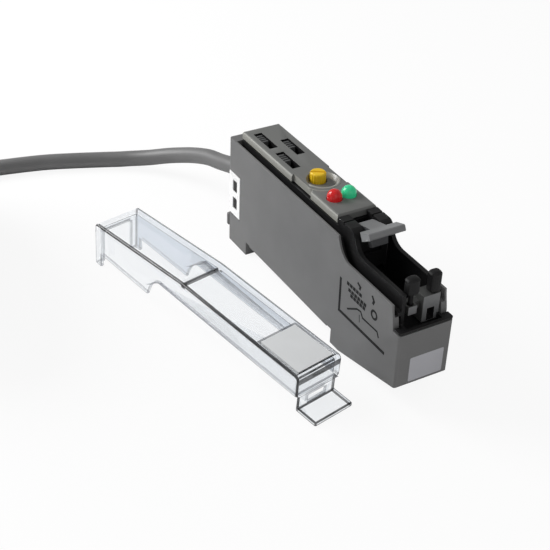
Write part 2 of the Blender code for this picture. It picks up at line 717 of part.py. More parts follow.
def make_rail_latch(material):
    """The sliding rail latch: a lip under the rail and a wide tab behind the case to pull it back by."""
    tab_front = REAR - GAP
    tab_back = tab_front - LATCH_TAB_THICK
    plate = [
        (tab_back + 0.3, LATCH_BOTTOM), (-SEAT + HOOK_REACH - 0.4, LATCH_BOTTOM),
        (-SEAT + HOOK_REACH, LATCH_BOTTOM + 0.4), (-SEAT + HOOK_REACH - 0.3, LATCH_TOP),
        (tab_front, LATCH_TOP), (tab_front, 0.5), (tab_back + 0.3, 0.5),
    ]
    latch = prism("rail_latch", plate, -LATCH_HALF, LATCH_HALF, material)
    tab = block("latch_tab", (tab_back, tab_front), (-HALF + 0.1, HALF - 0.1), (0, LATCH_TAB_TOP), bevel=0.3)
    fuse(latch, tab)


def smooth_line(points, spacing):
    """Points a spacing apart on a Catmull-Rom curve through the given ones."""
    ends = [points[0] * 2 - points[1]] + points + [points[-1] * 2 - points[-2]]
    fine = []
    for i in range(1, len(ends) - 2):
        p0, p1, p2, p3 = ends[i - 1:i + 3]
        for k in range(16):
            t = k / 16
            fine.append(0.5 * (
                2 * p1 + (p2 - p0) * t + (2 * p0 - 5 * p1 + 4 * p2 - p3) * t * t
                + (3 * p1 - p0 - 3 * p2 + p3) * t**3
            ))
    fine.append(points[-1])
    line = [fine[0]]
    walked = 0.0
    for a, b in zip(fine, fine[1:]):
        walked += (b - a).length
        if walked >= spacing:
            line.append(b)
            walked = 0.0
    if (line[-1] - fine[-1]).length > spacing / 2:
        line.append(fine[-1])
    else:
        line[-1] = fine[-1]
    return line


def make_cable(material):
    """The grey lead: relief, free run along the floor, and the rest folded into a hank with round ends."""
    relief = turned(
        "strain_relief",
        [(0, 0), (RELIEF_RADIUS, 0), (RELIEF_RADIUS, REAR_WALL), (RELIEF_RADIUS + 0.5, REAR_WALL + GAP),
         (RELIEF_RADIUS + 0.5, REAR_WALL + 1.3), (RELIEF_RADIUS, REAR_WALL + 1.6),
         (RELIEF_END, REAR_WALL + RELIEF_REACH),
         (0, REAR_WALL + RELIEF_REACH)],
        (0, 0, 0), material, 28,
    )
    relief.rotation_euler = Euler((0, math.radians(-90), 0))
    relief.location = Vector((REAR + REAR_WALL, 0, CABLE_Z)) * MM

    start = Vector((REAR - RELIEF_REACH - 2 * GAP, 0, CABLE_Z))
    line = smooth_line([start] + [Vector(p) for p in CABLE_ROUTE], 3 * CABLE_RADIUS)
    curve = bpy.data.curves.new("cable", "CURVE")
    curve.dimensions = "3D"
    curve.bevel_depth = CABLE_RADIUS * MM
    curve.bevel_resolution = 2
    curve.use_fill_caps = True
    spline = curve.splines.new("POLY")
    spline.points.add(len(line) - 1)
    for point, place in zip(spline.points, line):
        point.co = (*(place * MM), 1.0)
    curve.materials.append(material)
    cable = bpy.data.objects.new("cable", curve)
    bpy.context.scene.collection.objects.link(cable)

    inner = HANK_BEND - CABLE_RADIUS
    outer = inner + 2 * CABLE_RADIUS * HANK_COLUMNS
    height = 2 * CABLE_RADIUS * HANK_LAYERS
    form = bmesh.new()
    rings = []
    for radius, z in ((inner, 0), (outer, 0), (outer, height), (inner, height)):
        ring = []
        for end, start in ((0, 90), (HANK_RUN, -90)):
            for i in range(13):
                angle = math.radians(start + 15 * i)
                x = end + radius * math.cos(angle)
                y = radius * math.sin(angle)
                ring.append(form.verts.new((x * MM, y * MM, z * MM)))
        rings.append(ring)
    count = len(rings[0])
    for lower, upper in zip(rings, rings[1:] + rings[:1]):
        for i in range(count):
            j = (i + 1) % count
            form.faces.new((lower[i], lower[j], upper[j], upper[i]))
    hank = finish_mesh(form, "cable_hank", material)
    hank.rotation_euler = Euler((0, 0, math.radians(HANK_TURN)))
    hank.location = Vector((*HANK_PLACE, -FOOT)) * MM


def make_lid(clear_material, plate_material):
    """The clear lid: kinked top, stepped sides, two legs, a slotted tab, and its inlaid plate."""
    width = 2 * (HALF - LIP - LID_FIT)
    near = LID_LENGTH
    step0, step1 = LID_STEP
    side = [(0, -LID_LEG), (LID_LEG_SIZE, -LID_LEG), (LID_LEG_SIZE, -LID_DEEP), (step0, -LID_DEEP)]
    side += curve_points(
        (step0, -LID_DEEP), (step0 + 0.7, -LID_DEEP + 2.4), (step0 + 1.6, -LID_SHALLOW - 0.5),
        (step1, -LID_SHALLOW), 6,
    )
    side += [(near, -LID_SHALLOW)]
    side += arc_points(near - 1.0, -1.0, 1.0, 0, 90, 4)
    side += [(LID_KINK, 0)]
    side += arc_points(1.0, -LID_FALL - 0.9, 1.0, 95, 180, 4)
    lid = prism("lid", side, 0, width, clear_material, 0.35, lambda a, b: min(a.z, b.z) > -LID_FALL - 3.0)

    inside_top = -LID_TOP
    inside = [
        (LID_WALL, -LID_LEG - BEYOND), (near - LID_WALL, -LID_LEG - BEYOND), (near - LID_WALL, inside_top),
        (LID_KINK, inside_top), (LID_WALL, inside_top - LID_FALL),
    ]
    hollow = prism("lid_hollow", inside, LID_WALL, width - LID_WALL)
    doorway = block(
        "lid_doorway", (-BEYOND, LID_LEG_SIZE + 0.5), (LID_LEG_SIZE, width - LID_LEG_SIZE),
        (-LID_LEG - BEYOND, -LID_FALL - 2.6),
    )
    tab_v = (width / 2 - LID_TAB_HALF, width / 2 + LID_TAB_HALF)
    tab = block("lid_tab", (near - LID_WALL + 0.1, near - 0.1), tab_v, (-LID_TAB, -LID_SHALLOW + 0.5))
    flange_u = (near - LID_WALL + 0.1, near + LID_TAB_REACH)
    flange = block("lid_flange", flange_u, tab_v, (-LID_TAB, -LID_TAB + 1.0))
    slot = block(
        "lid_slot", (near - BEYOND, near + BEYOND), (width / 2 - 2.1, width / 2 + 2.1), (-7.4, -6.0),
    )
    plate_u = (near - 12.0, near - 1.1)
    plate_v = (1.0, width - 1.0)
    recess = block("plate_recess", plate_u, plate_v, (-0.55, BEYOND))
    rib_v = (LID_WALL - 0.1, width - LID_WALL + 0.1)
    rib = block("lid_rib", (LID_KINK - 0.3, LID_KINK + 0.3), rib_v, (-1.5, -0.7))
    cut(lid, hollow, doorway)
    fuse(lid, tab, flange, rib)
    cut(lid, slot, recess)
    plate = block(
        "lid_plate", (plate_u[0] + FINE_GAP, plate_u[1] - FINE_GAP),
        (plate_v[0] + FINE_GAP, plate_v[1] - FINE_GAP),
        (-0.35, 0.0), plate_material,
    )

    tilt = math.atan2(LID_LEG - LID_TAB, near + LID_TAB_REACH - LID_LEG_SIZE)
    turn = Matrix.Rotation(math.radians(LID_TURN), 4, "Z") @ Matrix.Rotation(tilt, 4, "Y")
    lowest = (turn @ Vector((LID_LEG_SIZE, 0, -LID_LEG))).z
    place = Matrix.Translation(Vector((*LID_PLACE, -FOOT - lowest)) * MM) @ turn
    for item in (lid, hollow, doorway, tab, flange, slot, recess, rib, plate):
        item.matrix_world = place @ item.matrix_basis


def main():
    clear_scene()
    case_grey = plastic("case_plastic", (0.07, 0.07, 0.072), 0.42)
    frame_black = plastic("frame_plastic", (0.012, 0.012, 0.012), 0.5)
    panel_grey = plastic("panel_plastic", (0.09, 0.09, 0.088), 0.45)
    slider_black = plastic("switch_plastic", (0.02, 0.02, 0.02), 0.5)
    amber = plastic("knob_plastic", (0.75, 0.5, 0.02), 0.4)
    red = plastic("red_lamp", (0.6, 0.01, 0.01), 0.25)
    green = plastic("green_lamp", (0.05, 0.6, 0.3), 0.25)
    lever_grey = plastic("lever_plastic", (0.12, 0.12, 0.125), 0.4)
    white = plastic("link_plastic", (0.85, 0.85, 0.85), 0.5)
    dark = plastic("link_filter", (0.01, 0.01, 0.012), 0.2)
    cable_grey = plastic("cable_jacket", (0.17, 0.17, 0.175), 0.5)
    clear = plastic("lid_clear", (0.86, 0.89, 0.9), 0.08, alpha=0.35)
    plate_white = plastic("plate_plastic", (0.6, 0.62, 0.63), 0.5)
    board = plastic("board_laminate", (0.02, 0.12, 0.04), 0.6)
    optics = plastic("optics_plastic", (0.02, 0.02, 0.02), 0.6)
    epoxy = plastic("diode_epoxy", (0.02, 0.02, 0.03), 0.25)
    steel = plastic("pin_steel", (0.55, 0.55, 0.56), 0.3, 1.0)

    make_case(case_grey)
    make_inner_frame(frame_black)
    make_panel(panel_grey)
    make_switches(slider_black, slider_black)
    make_trimmer(slider_black, amber)
    make_led("lamp_red", -LED_Y, red)
    make_led("lamp_green", LED_Y, green)
    make_board(board)
    make_optics(optics, epoxy)
    make_lever(lever_grey, steel)
    make_fibre_guide(case_grey)
    make_key("fibre_key_left", LEFT_KEY, 2.0, 2.7, GUIDE_TOP + 1.3, BRIDGE_TOP - 1.3, frame_black)
    make_key("fibre_key_right", RIGHT_KEY, 2.1, 2.4, GUIDE_TOP + GAP, GUIDE_TOP - 1.5, frame_black)
    make_link_port(white, dark)
    make_rail_latch(case_grey)
    make_cable(cable_grey)
    make_lid(clear, plate_white)


main()
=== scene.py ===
"""Looks for the fibre amplifier and its clear lid: materials, finer pieces, floor, lights and camera.

It is laid out as an add-on and run as a script. Lengths are in metres, in the part's own frame.
"""

import math

import bmesh
import bpy
import numpy as np
from bpy.props import FloatProperty, FloatVectorProperty, PointerProperty
from mathutils import Matrix, Vector


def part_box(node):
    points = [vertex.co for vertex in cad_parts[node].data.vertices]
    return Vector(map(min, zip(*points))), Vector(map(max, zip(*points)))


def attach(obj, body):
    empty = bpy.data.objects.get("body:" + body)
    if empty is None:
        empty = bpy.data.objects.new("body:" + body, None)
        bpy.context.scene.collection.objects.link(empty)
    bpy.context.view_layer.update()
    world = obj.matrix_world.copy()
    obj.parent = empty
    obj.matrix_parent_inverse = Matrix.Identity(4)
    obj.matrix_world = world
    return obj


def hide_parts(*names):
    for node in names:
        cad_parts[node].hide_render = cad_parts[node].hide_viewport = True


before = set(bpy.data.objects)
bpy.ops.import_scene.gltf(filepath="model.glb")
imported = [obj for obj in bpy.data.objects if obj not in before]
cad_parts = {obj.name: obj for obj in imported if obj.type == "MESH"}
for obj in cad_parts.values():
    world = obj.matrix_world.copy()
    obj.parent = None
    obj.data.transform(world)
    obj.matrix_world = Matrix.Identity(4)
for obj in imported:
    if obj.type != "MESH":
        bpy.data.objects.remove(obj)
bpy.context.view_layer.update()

bl_info = {
    "name": "Fibre amplifier looks",
    "version": (1, 0, 0),
    "blender": (4, 5, 0),
    "location": "View3D > Sidebar > Amplifier",
    "description": "Builds the visible pieces, materials and studio of a rail-mounted fibre amplifier",
    "category": "Object",
}

MM = 0.001
ROOT = "amplifier"

# The cable's route from the strain relief to the hank, in millimetres
CABLE_START = [(-31.4, 0.0, 9.9), (-32.2, 0.0, 9.86)]
CABLE_ROUTE = [
    (-35.8, -0.3, 9.1), (-40.1, -0.7, 7.9), (-44.1, -1.2, 7.05), (-47.8, -2.0, 5.9),
    (-51.1, -3.0, 4.7), (-54.1, -4.2, 3.5), (-56.8, -5.6, 2.4), (-59.1, -7.2, 1.4),
    (-61.1, -8.9, 0.55), (-63.0, -10.8, -0.1), (-64.6, -12.7, -0.55), (-65.9, -14.8, -0.85),
    (-67.1, -16.95, -1.0), (-68.2, -19.15, -1.1), (-70.7, -25.4, -1.1), (-73.1, -32.3, -1.1),
    (-75.3, -42.4, -1.1), (-76.5, -50.5, -1.1), (-77.0, -59.0, -1.1),
]
CABLE_LENGTH = 2.0
CABLE_DIAMETER = 0.0038
CABLE_HEIGHT = 9.9

# The bare leads: radius, spacing and fall towards their tips in millimetres, and points that they span
LEAD_RADIUS = 0.55
LEAD_SPACING = 1.15
LEAD_FALL = 1.3
LEAD_POINTS = 9

# The hank, in millimetres: its place and turn, inner bend, straight run, layers, lowest cable centre,
# step along the cable, and the last point before it, seen from its first
HANK_PLACE = (-61.6, -70.5)
HANK_TURN = math.radians(-15)
HANK_BEND = 11.6
HANK_RUN = 28.0
HANK_LAYERS = 8
HANK_BASE = -0.7
HANK_STEP = 2.9
HANK_APPROACH = (0, 5.5, -0.25)

# The lid's own frame: along it from the leg end, across it, and up from its top face
LID_TILT = math.atan2(4.15, 66.9)
LID_AXES = Matrix.Rotation(math.radians(11.65), 4, "Z") @ Matrix.Rotation(LID_TILT, 4, "Y")
LID_FOOT = (2.1, 0.0, -12.95)
LID_PLACE = (-28.8, -36.3)
LID_KINK = 29.4
LID_FALL = 2.6
LID_LENGTH = 64.2
LID_WIDTH = 11.0

# Bands along the lid's edges in painted dark or grey shade: eased edge, side band and end band, in
# millimetres
LID_EASE = 0.3
LID_SIDE_SHADE_BAND = 0.6
LID_END_SHADE_BAND = 1.9

# Raised lines round the knob in the pale finish, a painted highlight on the dish's rim on the side the
# light falls on: name, radius, first and last angle, width
DIAL_CENTRE = (2.0, 0.15)
DIAL_HIGHLIGHT_RIDGES = (("inner", 3.4, -88, 85, 0.5), ("outer", 4.6, -72, -12, 0.36))
DIAL_RISE = 0.1

# Faces that take painted light or shade in a second finish: the guide's front from X on (a painted lit
# face), its hole in Y and Z (painted shade), the walls of the panel's slots in X and to both sides
# (painted shade), and the lever's root from X on and below Z (painted shade under its bar)
GUIDE_LIT_FRONT = 36.5
GUIDE_HOLE_SHADE = ((1.6, 3.4), (12.55, 15.4))
SLOT_WALL_SHADE = ((-21.5, -3.4), 3.3)
LEVER_ROOT_SHADE = (19.2, 23.2)

# Printed lines on the left face: points in X and Z, and width. The ink starts just inside the face.
PRINTED_LINES = {
    "frame": ([(19.85, 14.2), (20.0, 6.6), (35.6, 6.7)], 0.68),
    "curve": ([(22.7, 8.6), (25.9, 10.6), (27.2, 10.8), (27.9, 9.8), (32.8, 9.9), (33.4, 8.8)], 0.38),
    "arrow": ([(30.3, 16.5), (31.0, 15.6), (30.7, 14.8)], 0.6),
    "tick": ([(25.4, 16.4), (26.4, 15.9), (26.2, 15.2)], 0.55),
    "stem": ([(26.8, 9.8), (27.0, 8.2)], 0.2),
}
DASH_ROWS = ((22.0, 14.3, 5), (22.6, 13.1, 6), (23.4, 12.2, 5))
DASH_PITCH = 1.05
DASH_SIZE = (0.85, 0.78)
RING_CENTRE = (31.4, 12.8)
RING_SIZE = (0.85, 0.5)
INK_INSIDE = 0.05
INK_OUTSIDE = 0.015
LABEL_CENTRE = (0.85, 4.55)
LABEL_SIZE = (7.6, 5.5)

CAMERA_PLACE = (0.173436, -0.112613, 0.142618)
CAMERA_AXES = ((0.49443, 0.86863, 0.03202), (-0.50645, 0.25795, 0.82278), (0.70643, -0.42302, 0.56746))
CAMERA_LENS = 77.955
FLOOR_Z = -0.003
FLOOR_REACH = 3.0

# Lights: place, target and diameter. The veil is the share of plain white that the floor shows.
KEY_LIGHT = ((-0.22, -0.18, 0.18), (-0.015, -0.01, 0.01), 0.2)
FILL_LIGHT = ((0.5, -0.05, 0.3), (0.02, 0.0, 0.01), 0.4)
FLOOR_VEIL = 0.9

# Rounding of sharp edges: steps, the angle from which an edge is sharp, and that up to which it is flat
EASE_STEPS = 2
SHARP_FROM = math.radians(35)
FLAT = math.radians(0.4)


# Shapes

def grid_mesh(name, points, around=True, along=False):
    """Put a grid of points (rows, columns, 3) into a mesh of quads.

    Point (i, j) joins (i, j + 1), (i + 1, j + 1) and (i + 1, j). Columns wrap round if around is
    true and rows if along is. Points that meet at a pole are merged, and the faces turned outward.
    """
    rows, columns = points.shape[:2]
    i = np.arange(rows if along else rows - 1)
    j = np.arange(columns if around else columns - 1)
    i, j = np.meshgrid(i, j, indexing="ij")
    i1 = (i + 1) % rows
    j1 = (j + 1) % columns
    quads = np.stack([i * columns + j, i * columns + j1, i1 * columns + j1, i1 * columns + j], axis=-1)
    mesh = bpy.data.meshes.new(name)
    mesh.from_pydata(points.reshape(-1, 3), [], quads.reshape(-1, 4))
    clean(mesh)
    return mesh


def clean(mesh, flatten=False):
    """Merge doubled points, drop needless edges on flat faces if asked, and turn the faces outward."""
    form = bmesh.new()
    form.from_mesh(mesh)
    bmesh.ops.remove_doubles(form, verts=form.verts, dist=1e-7)
    if flatten:
        bmesh.ops.dissolve_limit(form, angle_limit=FLAT, verts=form.verts, edges=form.edges)
    bmesh.ops.recalc_face_normals(form, faces=form.faces)
    form.to_mesh(mesh)
    form.free()
    mesh.update()


def link(name, data):
    """An object of that name in the scene."""
    thing = bpy.data.objects.new(name, data)
    bpy.context.scene.collection.objects.link(thing)
    return thing


def show(name, mesh, finish, body=ROOT, stands_for=()):
    """Link a mesh as a piece, with its finish, body and the solids it stands for."""
    piece = link(name, mesh)
    if finish:
        mesh.materials.append(material_of(finish))
    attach(piece, body)
    if stands_for:
        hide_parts(*stands_for)
    return piece


def smooth(piece, angle=40):
    """Smooth shading, kept crisp across edges sharper than the angle."""
    piece.data.shade_smooth()
    piece.data.set_sharp_from_angle(angle=math.radians(angle))
    return piece


def turned(profile, centre, columns=64, ripple=None):
    """A surface of revolution round a vertical axis.

    Point (i, j) lies at radius r_i times (1 + ripple_i cos(n t_j)), height z_i and turn t_j, where
    profile gives r and z in millimetres and ripple the share for each row and the count n.
    """
    profile = np.array(profile, float)
    turn = np.linspace(0, math.tau, columns, endpoint=False)
    radius = profile[:, :1] * np.ones_like(turn)
    if ripple is not None:
        share, count = ripple
        radius = radius * (1 + np.array(share)[:, None] * np.cos(count * turn))
    x = centre[0] + radius * np.cos(turn)
    y = centre[1] + radius * np.sin(turn)
    z = centre[2] + profile[:, 1:] * np.ones_like(turn)
    return np.stack([x, y, z], axis=-1) * MM


def round_corner(a, b, corner, steps=6):
    """Points of a quarter ellipse from a to b, which leaves a towards corner and reaches b from it."""
    t = np.linspace(0, math.pi / 2, steps)[:, None]
    a, b, corner = (np.array(p, float) for p in (a, b, corner))
    return (corner + (a - corner) * (1 - np.sin(t)) + (b - corner) * (1 - np.cos(t))).tolist()


def curve_through(points, steps):
    """A curve through points: cubics whose slope at each point is half the chord of its neighbours."""
    p = np.array(points, float)
    p = np.vstack([2 * p[0] - p[1], p, 2 * p[-1] - p[-2]])
    t = np.linspace(0, 1, steps, endpoint=False)[None, :, None]
    a, b, c, d = (p[k:len(p) - 3 + k][:, None, :] for k in range(4))
    square = 2 * a - 5 * b + 4 * c - d
    cubic = 3 * b - a - 3 * c + d
    line = 0.5 * (2 * b + (c - a) * t + square * t**2 + cubic * t**3)
    return np.vstack([line.reshape(-1, 3), p[-2:-1]])


def tube(path, radius, columns=16):
    """A round tube: a circle carried along the path, square to it, with rounded closed ends.

    Point (i, j) = path_i + r_i (cos t_j side_i + sin t_j up_i), where side is the tangent crossed with
    vertical and up completes the frame. The first and last rows shrink to the path to close the ends.
    """
    tangent = np.gradient(path, axis=0)
    tangent /= np.linalg.norm(tangent, axis=1)[:, None]
    side = np.cross(tangent, (0.0, 0.0, 1.0))
    side /= np.linalg.norm(side, axis=1)[:, None]
    up = np.cross(side, tangent)
    ends = radius * 0.12
    near, rim = radius * 0.97, radius * 0.88
    rows = np.r_[0, 0, 0, np.arange(len(path)), -1, -1, -1]
    reach = np.r_[0, 0, ends, np.zeros(len(path)), -ends, 0, 0]
    size = np.r_[0, rim, near, np.full(len(path), radius), near, rim, 0]
    turn = np.linspace(0, math.tau, columns, endpoint=False)[None, :, None]
    middle = (path[rows] + tangent[rows] * reach[:, None])[:, None, :]
    ring = np.cos(turn) * side[rows][:, None, :] + np.sin(turn) * up[rows][:, None, :]
    return middle + size[:, None, None] * ring


def ribbon(outline, width, y_back, y_front):
    """A printed line on an upright face: the outline in X and Z, widened to both sides along its mitres.

    Rows run along the outline, and the four columns are the corners of a flat rectangle.
    """
    line = np.array(outline, float)
    way = np.diff(line, axis=0)
    way /= np.linalg.norm(way, axis=1)[:, None]
    before = np.vstack([way[:1], way])
    after = np.vstack([way, way[-1:]])
    mitre = before + after
    mitre /= np.linalg.norm(mitre, axis=1)[:, None]
    normal = np.stack([-mitre[:, 1], mitre[:, 0]], axis=1)
    square = np.stack([-after[:, 1], after[:, 0]], axis=1)
    normal *= (width / 2 / np.clip((normal * square).sum(axis=1), 0.4, 1))[:, None]
    left = line + normal
    right = line - normal
    rows = [
        np.stack([side[:, 0], np.full(len(line), y), side[:, 1]], axis=1)
        for side, y in ((left, y_back), (left, y_front), (right, y_front), (right, y_back))
    ]
    points = np.stack(rows, axis=1)
    ends = points[[0, -1]].mean(axis=1, keepdims=True) * np.ones((1, 4, 1))
    return np.concatenate([ends[:1], points, ends[1:]]) * MM


def label_points(centre, size, radius=0.3, thick=0.06, steps=6):
    """A thin label that faces +X: a rounded rectangle with its front rim drawn in."""
    half = np.array(size) / 2 - radius
    turn = np.linspace(0, math.pi / 2, steps)
    corners = [
        np.array((sx, sy)) * half + radius * np.stack([np.cos(turn + q), np.sin(turn + q)], axis=1)
        for sx, sy, q in ((1, 1, 0), (-1, 1, math.pi / 2), (-1, -1, math.pi), (1, -1, 1.5 * math.pi))
    ]
    outline = np.vstack(corners)
    drawn_in = np.sign(outline) * 0.07 * 0.3 * min(size) / 2
    front = outline - drawn_in
    levels = ((outline * 0, 0.0), (outline, 0.0), (outline, 0.7), (front, 1.0), (outline * 0, 1.0))
    rows = [np.insert(line, 0, thick * rise, axis=1) + centre for line, rise in levels]
    return np.stack(rows) * MM


def round_uprights(mesh, beyond, radius):
    """Round a copy's upright edges that lie further along X than the given place, in millimetres."""
    form = bmesh.new()
    form.from_mesh(mesh)
    uprights = [
        e for e in form.edges
        if min(v.co.x for v in e.verts) > beyond * MM and e.calc_face_angle(0) > 1
        and abs((e.verts[0].co - e.verts[1].co).normalized().z) > 0.99
        and abs(e.verts[0].co.y) > 5.5 * MM
    ]
    bmesh.ops.bevel(form, geom=uprights, offset=radius * MM, segments=5, profile=0.5, affect="EDGES")
    form.to_mesh(mesh)
    form.free()


def copied(node, name):
    """A copy of a solid's mesh, cleaned and without a material."""
    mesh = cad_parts[node].data.copy()
    mesh.name = name
    mesh.materials.clear()
    clean(mesh, flatten=True)
    return mesh


def eased(name, node, width, finish, body=ROOT, edge_finish=None, uprights=None):
    """A copy of a solid with merged points and its sharp edges rounded off by the width in millimetres.

    The new rounded faces take the edge finish, if there is one. uprights is a place along X and the
    larger radius of the upright edges beyond it.
    """
    mesh = copied(node, name)
    if uprights:
        round_uprights(mesh, *uprights)
    piece = show(name, mesh, finish, body, (node,))
    soften = piece.modifiers.new("rounded edges", "BEVEL")
    soften.width = width * MM
    soften.segments = EASE_STEPS
    soften.angle_limit = SHARP_FROM
    soften.miter_outer = "MITER_ARC"
    soften.harden_normals = True
    if edge_finish:
        mesh.materials.append(material_of(edge_finish))
        soften.material = 1
    return smooth(piece, 30)


def lid_frame():
    """The lid's frame as a matrix, in millimetres: its foot stands on the floor."""
    lowest = (LID_AXES @ Vector(LID_FOOT)).z
    return Matrix.Translation((*LID_PLACE, FLOOR_Z / MM - lowest)) @ LID_AXES


def lid_height(point):
    """How far a point in the lid's frame lies above its top, which slopes down behind the kink."""
    return point.z + LID_FALL * max(0.0, LID_KINK - point.x) / (LID_KINK - 1)


def lid_mesh():
    """The lid with rounded edges, its faces sorted by where they lie.

    0 clear walls, and painted shade in 1 dark bands along the near side and end, 2 grey bands along the
    far side,
    3 pale lower rims and 4 a bluish wall on the far side. The solid's own rounded edges are the faces
    narrower than the eased edge.
    A band is cut off along both sides of the top and along the top of the end wall, and every other
    sharp edge is rounded.
    """
    mesh = copied("lid", "lid_cover")
    form = bmesh.new()
    form.from_mesh(mesh)
    local = lid_frame().inverted()
    turn = LID_AXES.to_3x3()
    along, across = turn @ Vector((1, 0, 0)), turn @ Vector((0, 1, 0))
    for face in form.faces:
        narrow = face.calc_area() / max(e.calc_length() for e in face.edges) < LID_EASE * MM
        face.material_index = 1 if narrow else 0
    for place, normal, low in (
        ((LID_LENGTH, 0, -LID_END_SHADE_BAND), (0, 0, 1), LID_LENGTH - 0.2),
        ((0, LID_SIDE_SHADE_BAND, 0), (0, 1, 0), 1.0),
        ((0, LID_WIDTH - LID_SIDE_SHADE_BAND, 0), (0, 1, 0), 1.0),
    ):
        wanted = []
        for face in form.faces:
            middle = local @ (face.calc_center_median() / MM)
            if middle.x > low and (place[1] == 0 or lid_height(middle) > -0.1):
                wanted.append(face)
        bmesh.ops.bisect_plane(
            form, geom=wanted + list({part for f in wanted for part in (*f.edges, *f.verts)}),
            plane_co=lid_frame() @ Vector(place) * MM, plane_no=turn @ Vector(normal), dist=1e-7,
        )
    sharp = [e for e in form.edges if e.is_manifold and e.calc_face_angle() > SHARP_FROM]
    bmesh.ops.bevel(
        form, geom=sharp, offset=LID_EASE * MM, segments=3, profile=0.5, affect="EDGES",
        clamp_overlap=False, material=1,
    )
    # painted shade: faces along the edges take dark, grey or pale finishes by where they lie, and the
    # wall on the far side a bluish one
    for face in form.faces:
        u, v, w = local @ (face.calc_center_median() / MM)
        height = lid_height(Vector((u, v, w)))
        if face.material_index == 1:
            corner = v < 1.2 or v > LID_WIDTH - 1.2
            near_end = u > LID_LENGTH - 1.2 and (height > -LID_END_SHADE_BAND or corner)
            tab_rim = u > LID_LENGTH - 0.5 and w < -7.6
            rib = abs(u - LID_KINK) < 0.7 and height > -1.8
            if (height > -0.5 and v < 0.4) or near_end or tab_rim or rib:
                face.material_index = 1
            elif height > -1.4 or (u < 1.2 and w > -8):
                face.material_index = 2
            else:
                face.material_index = 3
        elif u > LID_LENGTH - 0.2 and w > -LID_END_SHADE_BAND and abs(face.normal.dot(along)) > 0.9:
            face.material_index = 1
        elif height > -0.1 and u > 1 and not LID_SIDE_SHADE_BAND <= v <= LID_WIDTH - LID_SIDE_SHADE_BAND:
            face.material_index = 1 if v < LID_SIDE_SHADE_BAND else 2
        elif v > LID_WIDTH - 1 and abs(face.normal.dot(across)) > 0.9:
            face.material_index = 4
    form.to_mesh(mesh)
    form.free()
    return mesh


def round_fit(low, high):
    """Centre, radius, base and top of an upright round solid in millimetres, from its box."""
    centre = [(low[i] + high[i]) / 2 / MM for i in (0, 1)]
    return centre, (high[0] - low[0]) / 2 / MM, low[2] / MM, high[2] / MM


def knob_mesh(columns=108, flutes=18, slot_turn=58, slot_half=0.2, slot_depth=0.45):
    """The trimmer's knob: a fluted side, a rounded shoulder and a slot across its top.

    Radius on the side is r (1 + 0.03 cos 18t). On the top, height falls by the slot's depth where the
    distance from its middle line is under its half width, by a logistic step about 0.05 mm wide.
    """
    centre, radius, base, top = round_fit(*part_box("trimmer_knob"))
    shoulder = round_corner((radius, top - 0.35), (radius - 0.35, top), (radius, top), 6)
    side = [(radius, z) for z in np.linspace(base + 0.05, top - 0.4, 8)]
    cap = [(r, top) for r in np.linspace(radius - 0.4, 0.02, 22)]
    profile = np.array([(0.0, base), (radius - 0.1, base)] + side + shoulder + cap + [(0.0, top)])
    share = np.zeros(len(profile))
    share[2:len(side) + 5] = 0.03
    points = turned(profile, (*centre, 0), columns, (share, flutes))
    turn = math.radians(slot_turn)
    x = points[..., 0] / MM - centre[0]
    y = points[..., 1] / MM - centre[1]
    away = np.abs(x * -math.sin(turn) + y * math.cos(turn))
    cut = 1 / (1 + np.exp((away - slot_half) / 0.025))
    rows = np.arange(len(profile)) >= len(side) + 5
    points[..., 2] -= slot_depth * MM * cut * rows[:, None]
    return grid_mesh("knob_fluted", points)


def lamp_mesh(name, node):
    """A lamp's lens: a straight cylinder under half an ellipse of revolution, closed at both ends."""
    centre, radius, foot, top = round_fit(*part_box(node))
    rise = radius * 1.02
    quarter = np.linspace(0, math.pi / 2, 16)[:-1]
    dome = [(radius * math.cos(a), top - rise + rise * math.sin(a)) for a in quarter]
    profile = [(0.0, foot), (radius - 0.05, foot), (radius, foot + 0.05), *dome, (0.0, top)]
    return grid_mesh(name, turned(profile, (*centre, 0), 56))


def relief_mesh():
    """The strain relief: a flange and a tapering sleeve with flex grooves, turned round the cable.

    Its radius falls from flange to tip along a straight line, less 0.3 mm in each groove, and it is laid
    on its side so that the turning axis runs along -X.
    """
    low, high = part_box("strain_relief")
    x0, x1 = high[0] / MM, low[0] / MM
    length = x0 - x1
    flange = (high[1] - low[1]) / 2 / MM
    hole = CABLE_DIAMETER / 2 / MM + 0.02
    sleeve = 4.1
    rows = [(0.0, 0.0), (flange - 0.5, 0.0), (flange - 0.5, 2.45), (flange, 2.8), (flange, 3.75)]
    rows.append((flange - 0.5, sleeve))
    groove = sleeve + 0.45
    while groove < length - 0.9:
        for step, cut in ((0.0, 0.0), (0.08, 0.3), (0.42, 0.3), (0.5, 0.0)):
            share = (groove + step - sleeve) / (length - sleeve)
            rows.append((flange - 0.5 - 0.5 * share - cut, groove + step))
        groove += 0.95
    rows += [(flange - 1.0, length - 0.2), (flange - 1.15, length), (hole, length)]
    rows += [(hole, length - 0.9), (0, length - 0.9)]
    x, y, z = np.moveaxis(turned(rows, (0, 0, 0), 48), -1, 0)
    return grid_mesh("relief_sleeve", np.stack([x0 * MM - z, x, y + CABLE_HEIGHT * MM], axis=-1))


def arc_ridge(name, centre, radius, start, end, width, height, base):
    """A raised moulded line along an arc: its section is half an ellipse, and it tapers to its ends.

    Row i is the section at angle t_i, column j its point at angle u_j across, with the section scaled by
    a quarter-sine at both ends.
    """
    turn = np.radians(np.linspace(start, end, 40))
    share = np.clip(np.minimum(np.arange(40), 39 - np.arange(40)) / 5, 0, 1)
    share = np.sin(share * math.pi / 2)[:, None]
    u = np.linspace(0, math.tau, 12, endpoint=False)[None, :]
    r = radius + width / 2 * np.cos(u) * share
    x = centre[0] + r * np.cos(turn)[:, None]
    y = centre[1] + r * np.sin(turn)[:, None]
    z = base + height * np.sin(u) * share
    return grid_mesh(name, np.stack([x, y, z], axis=-1) * MM)


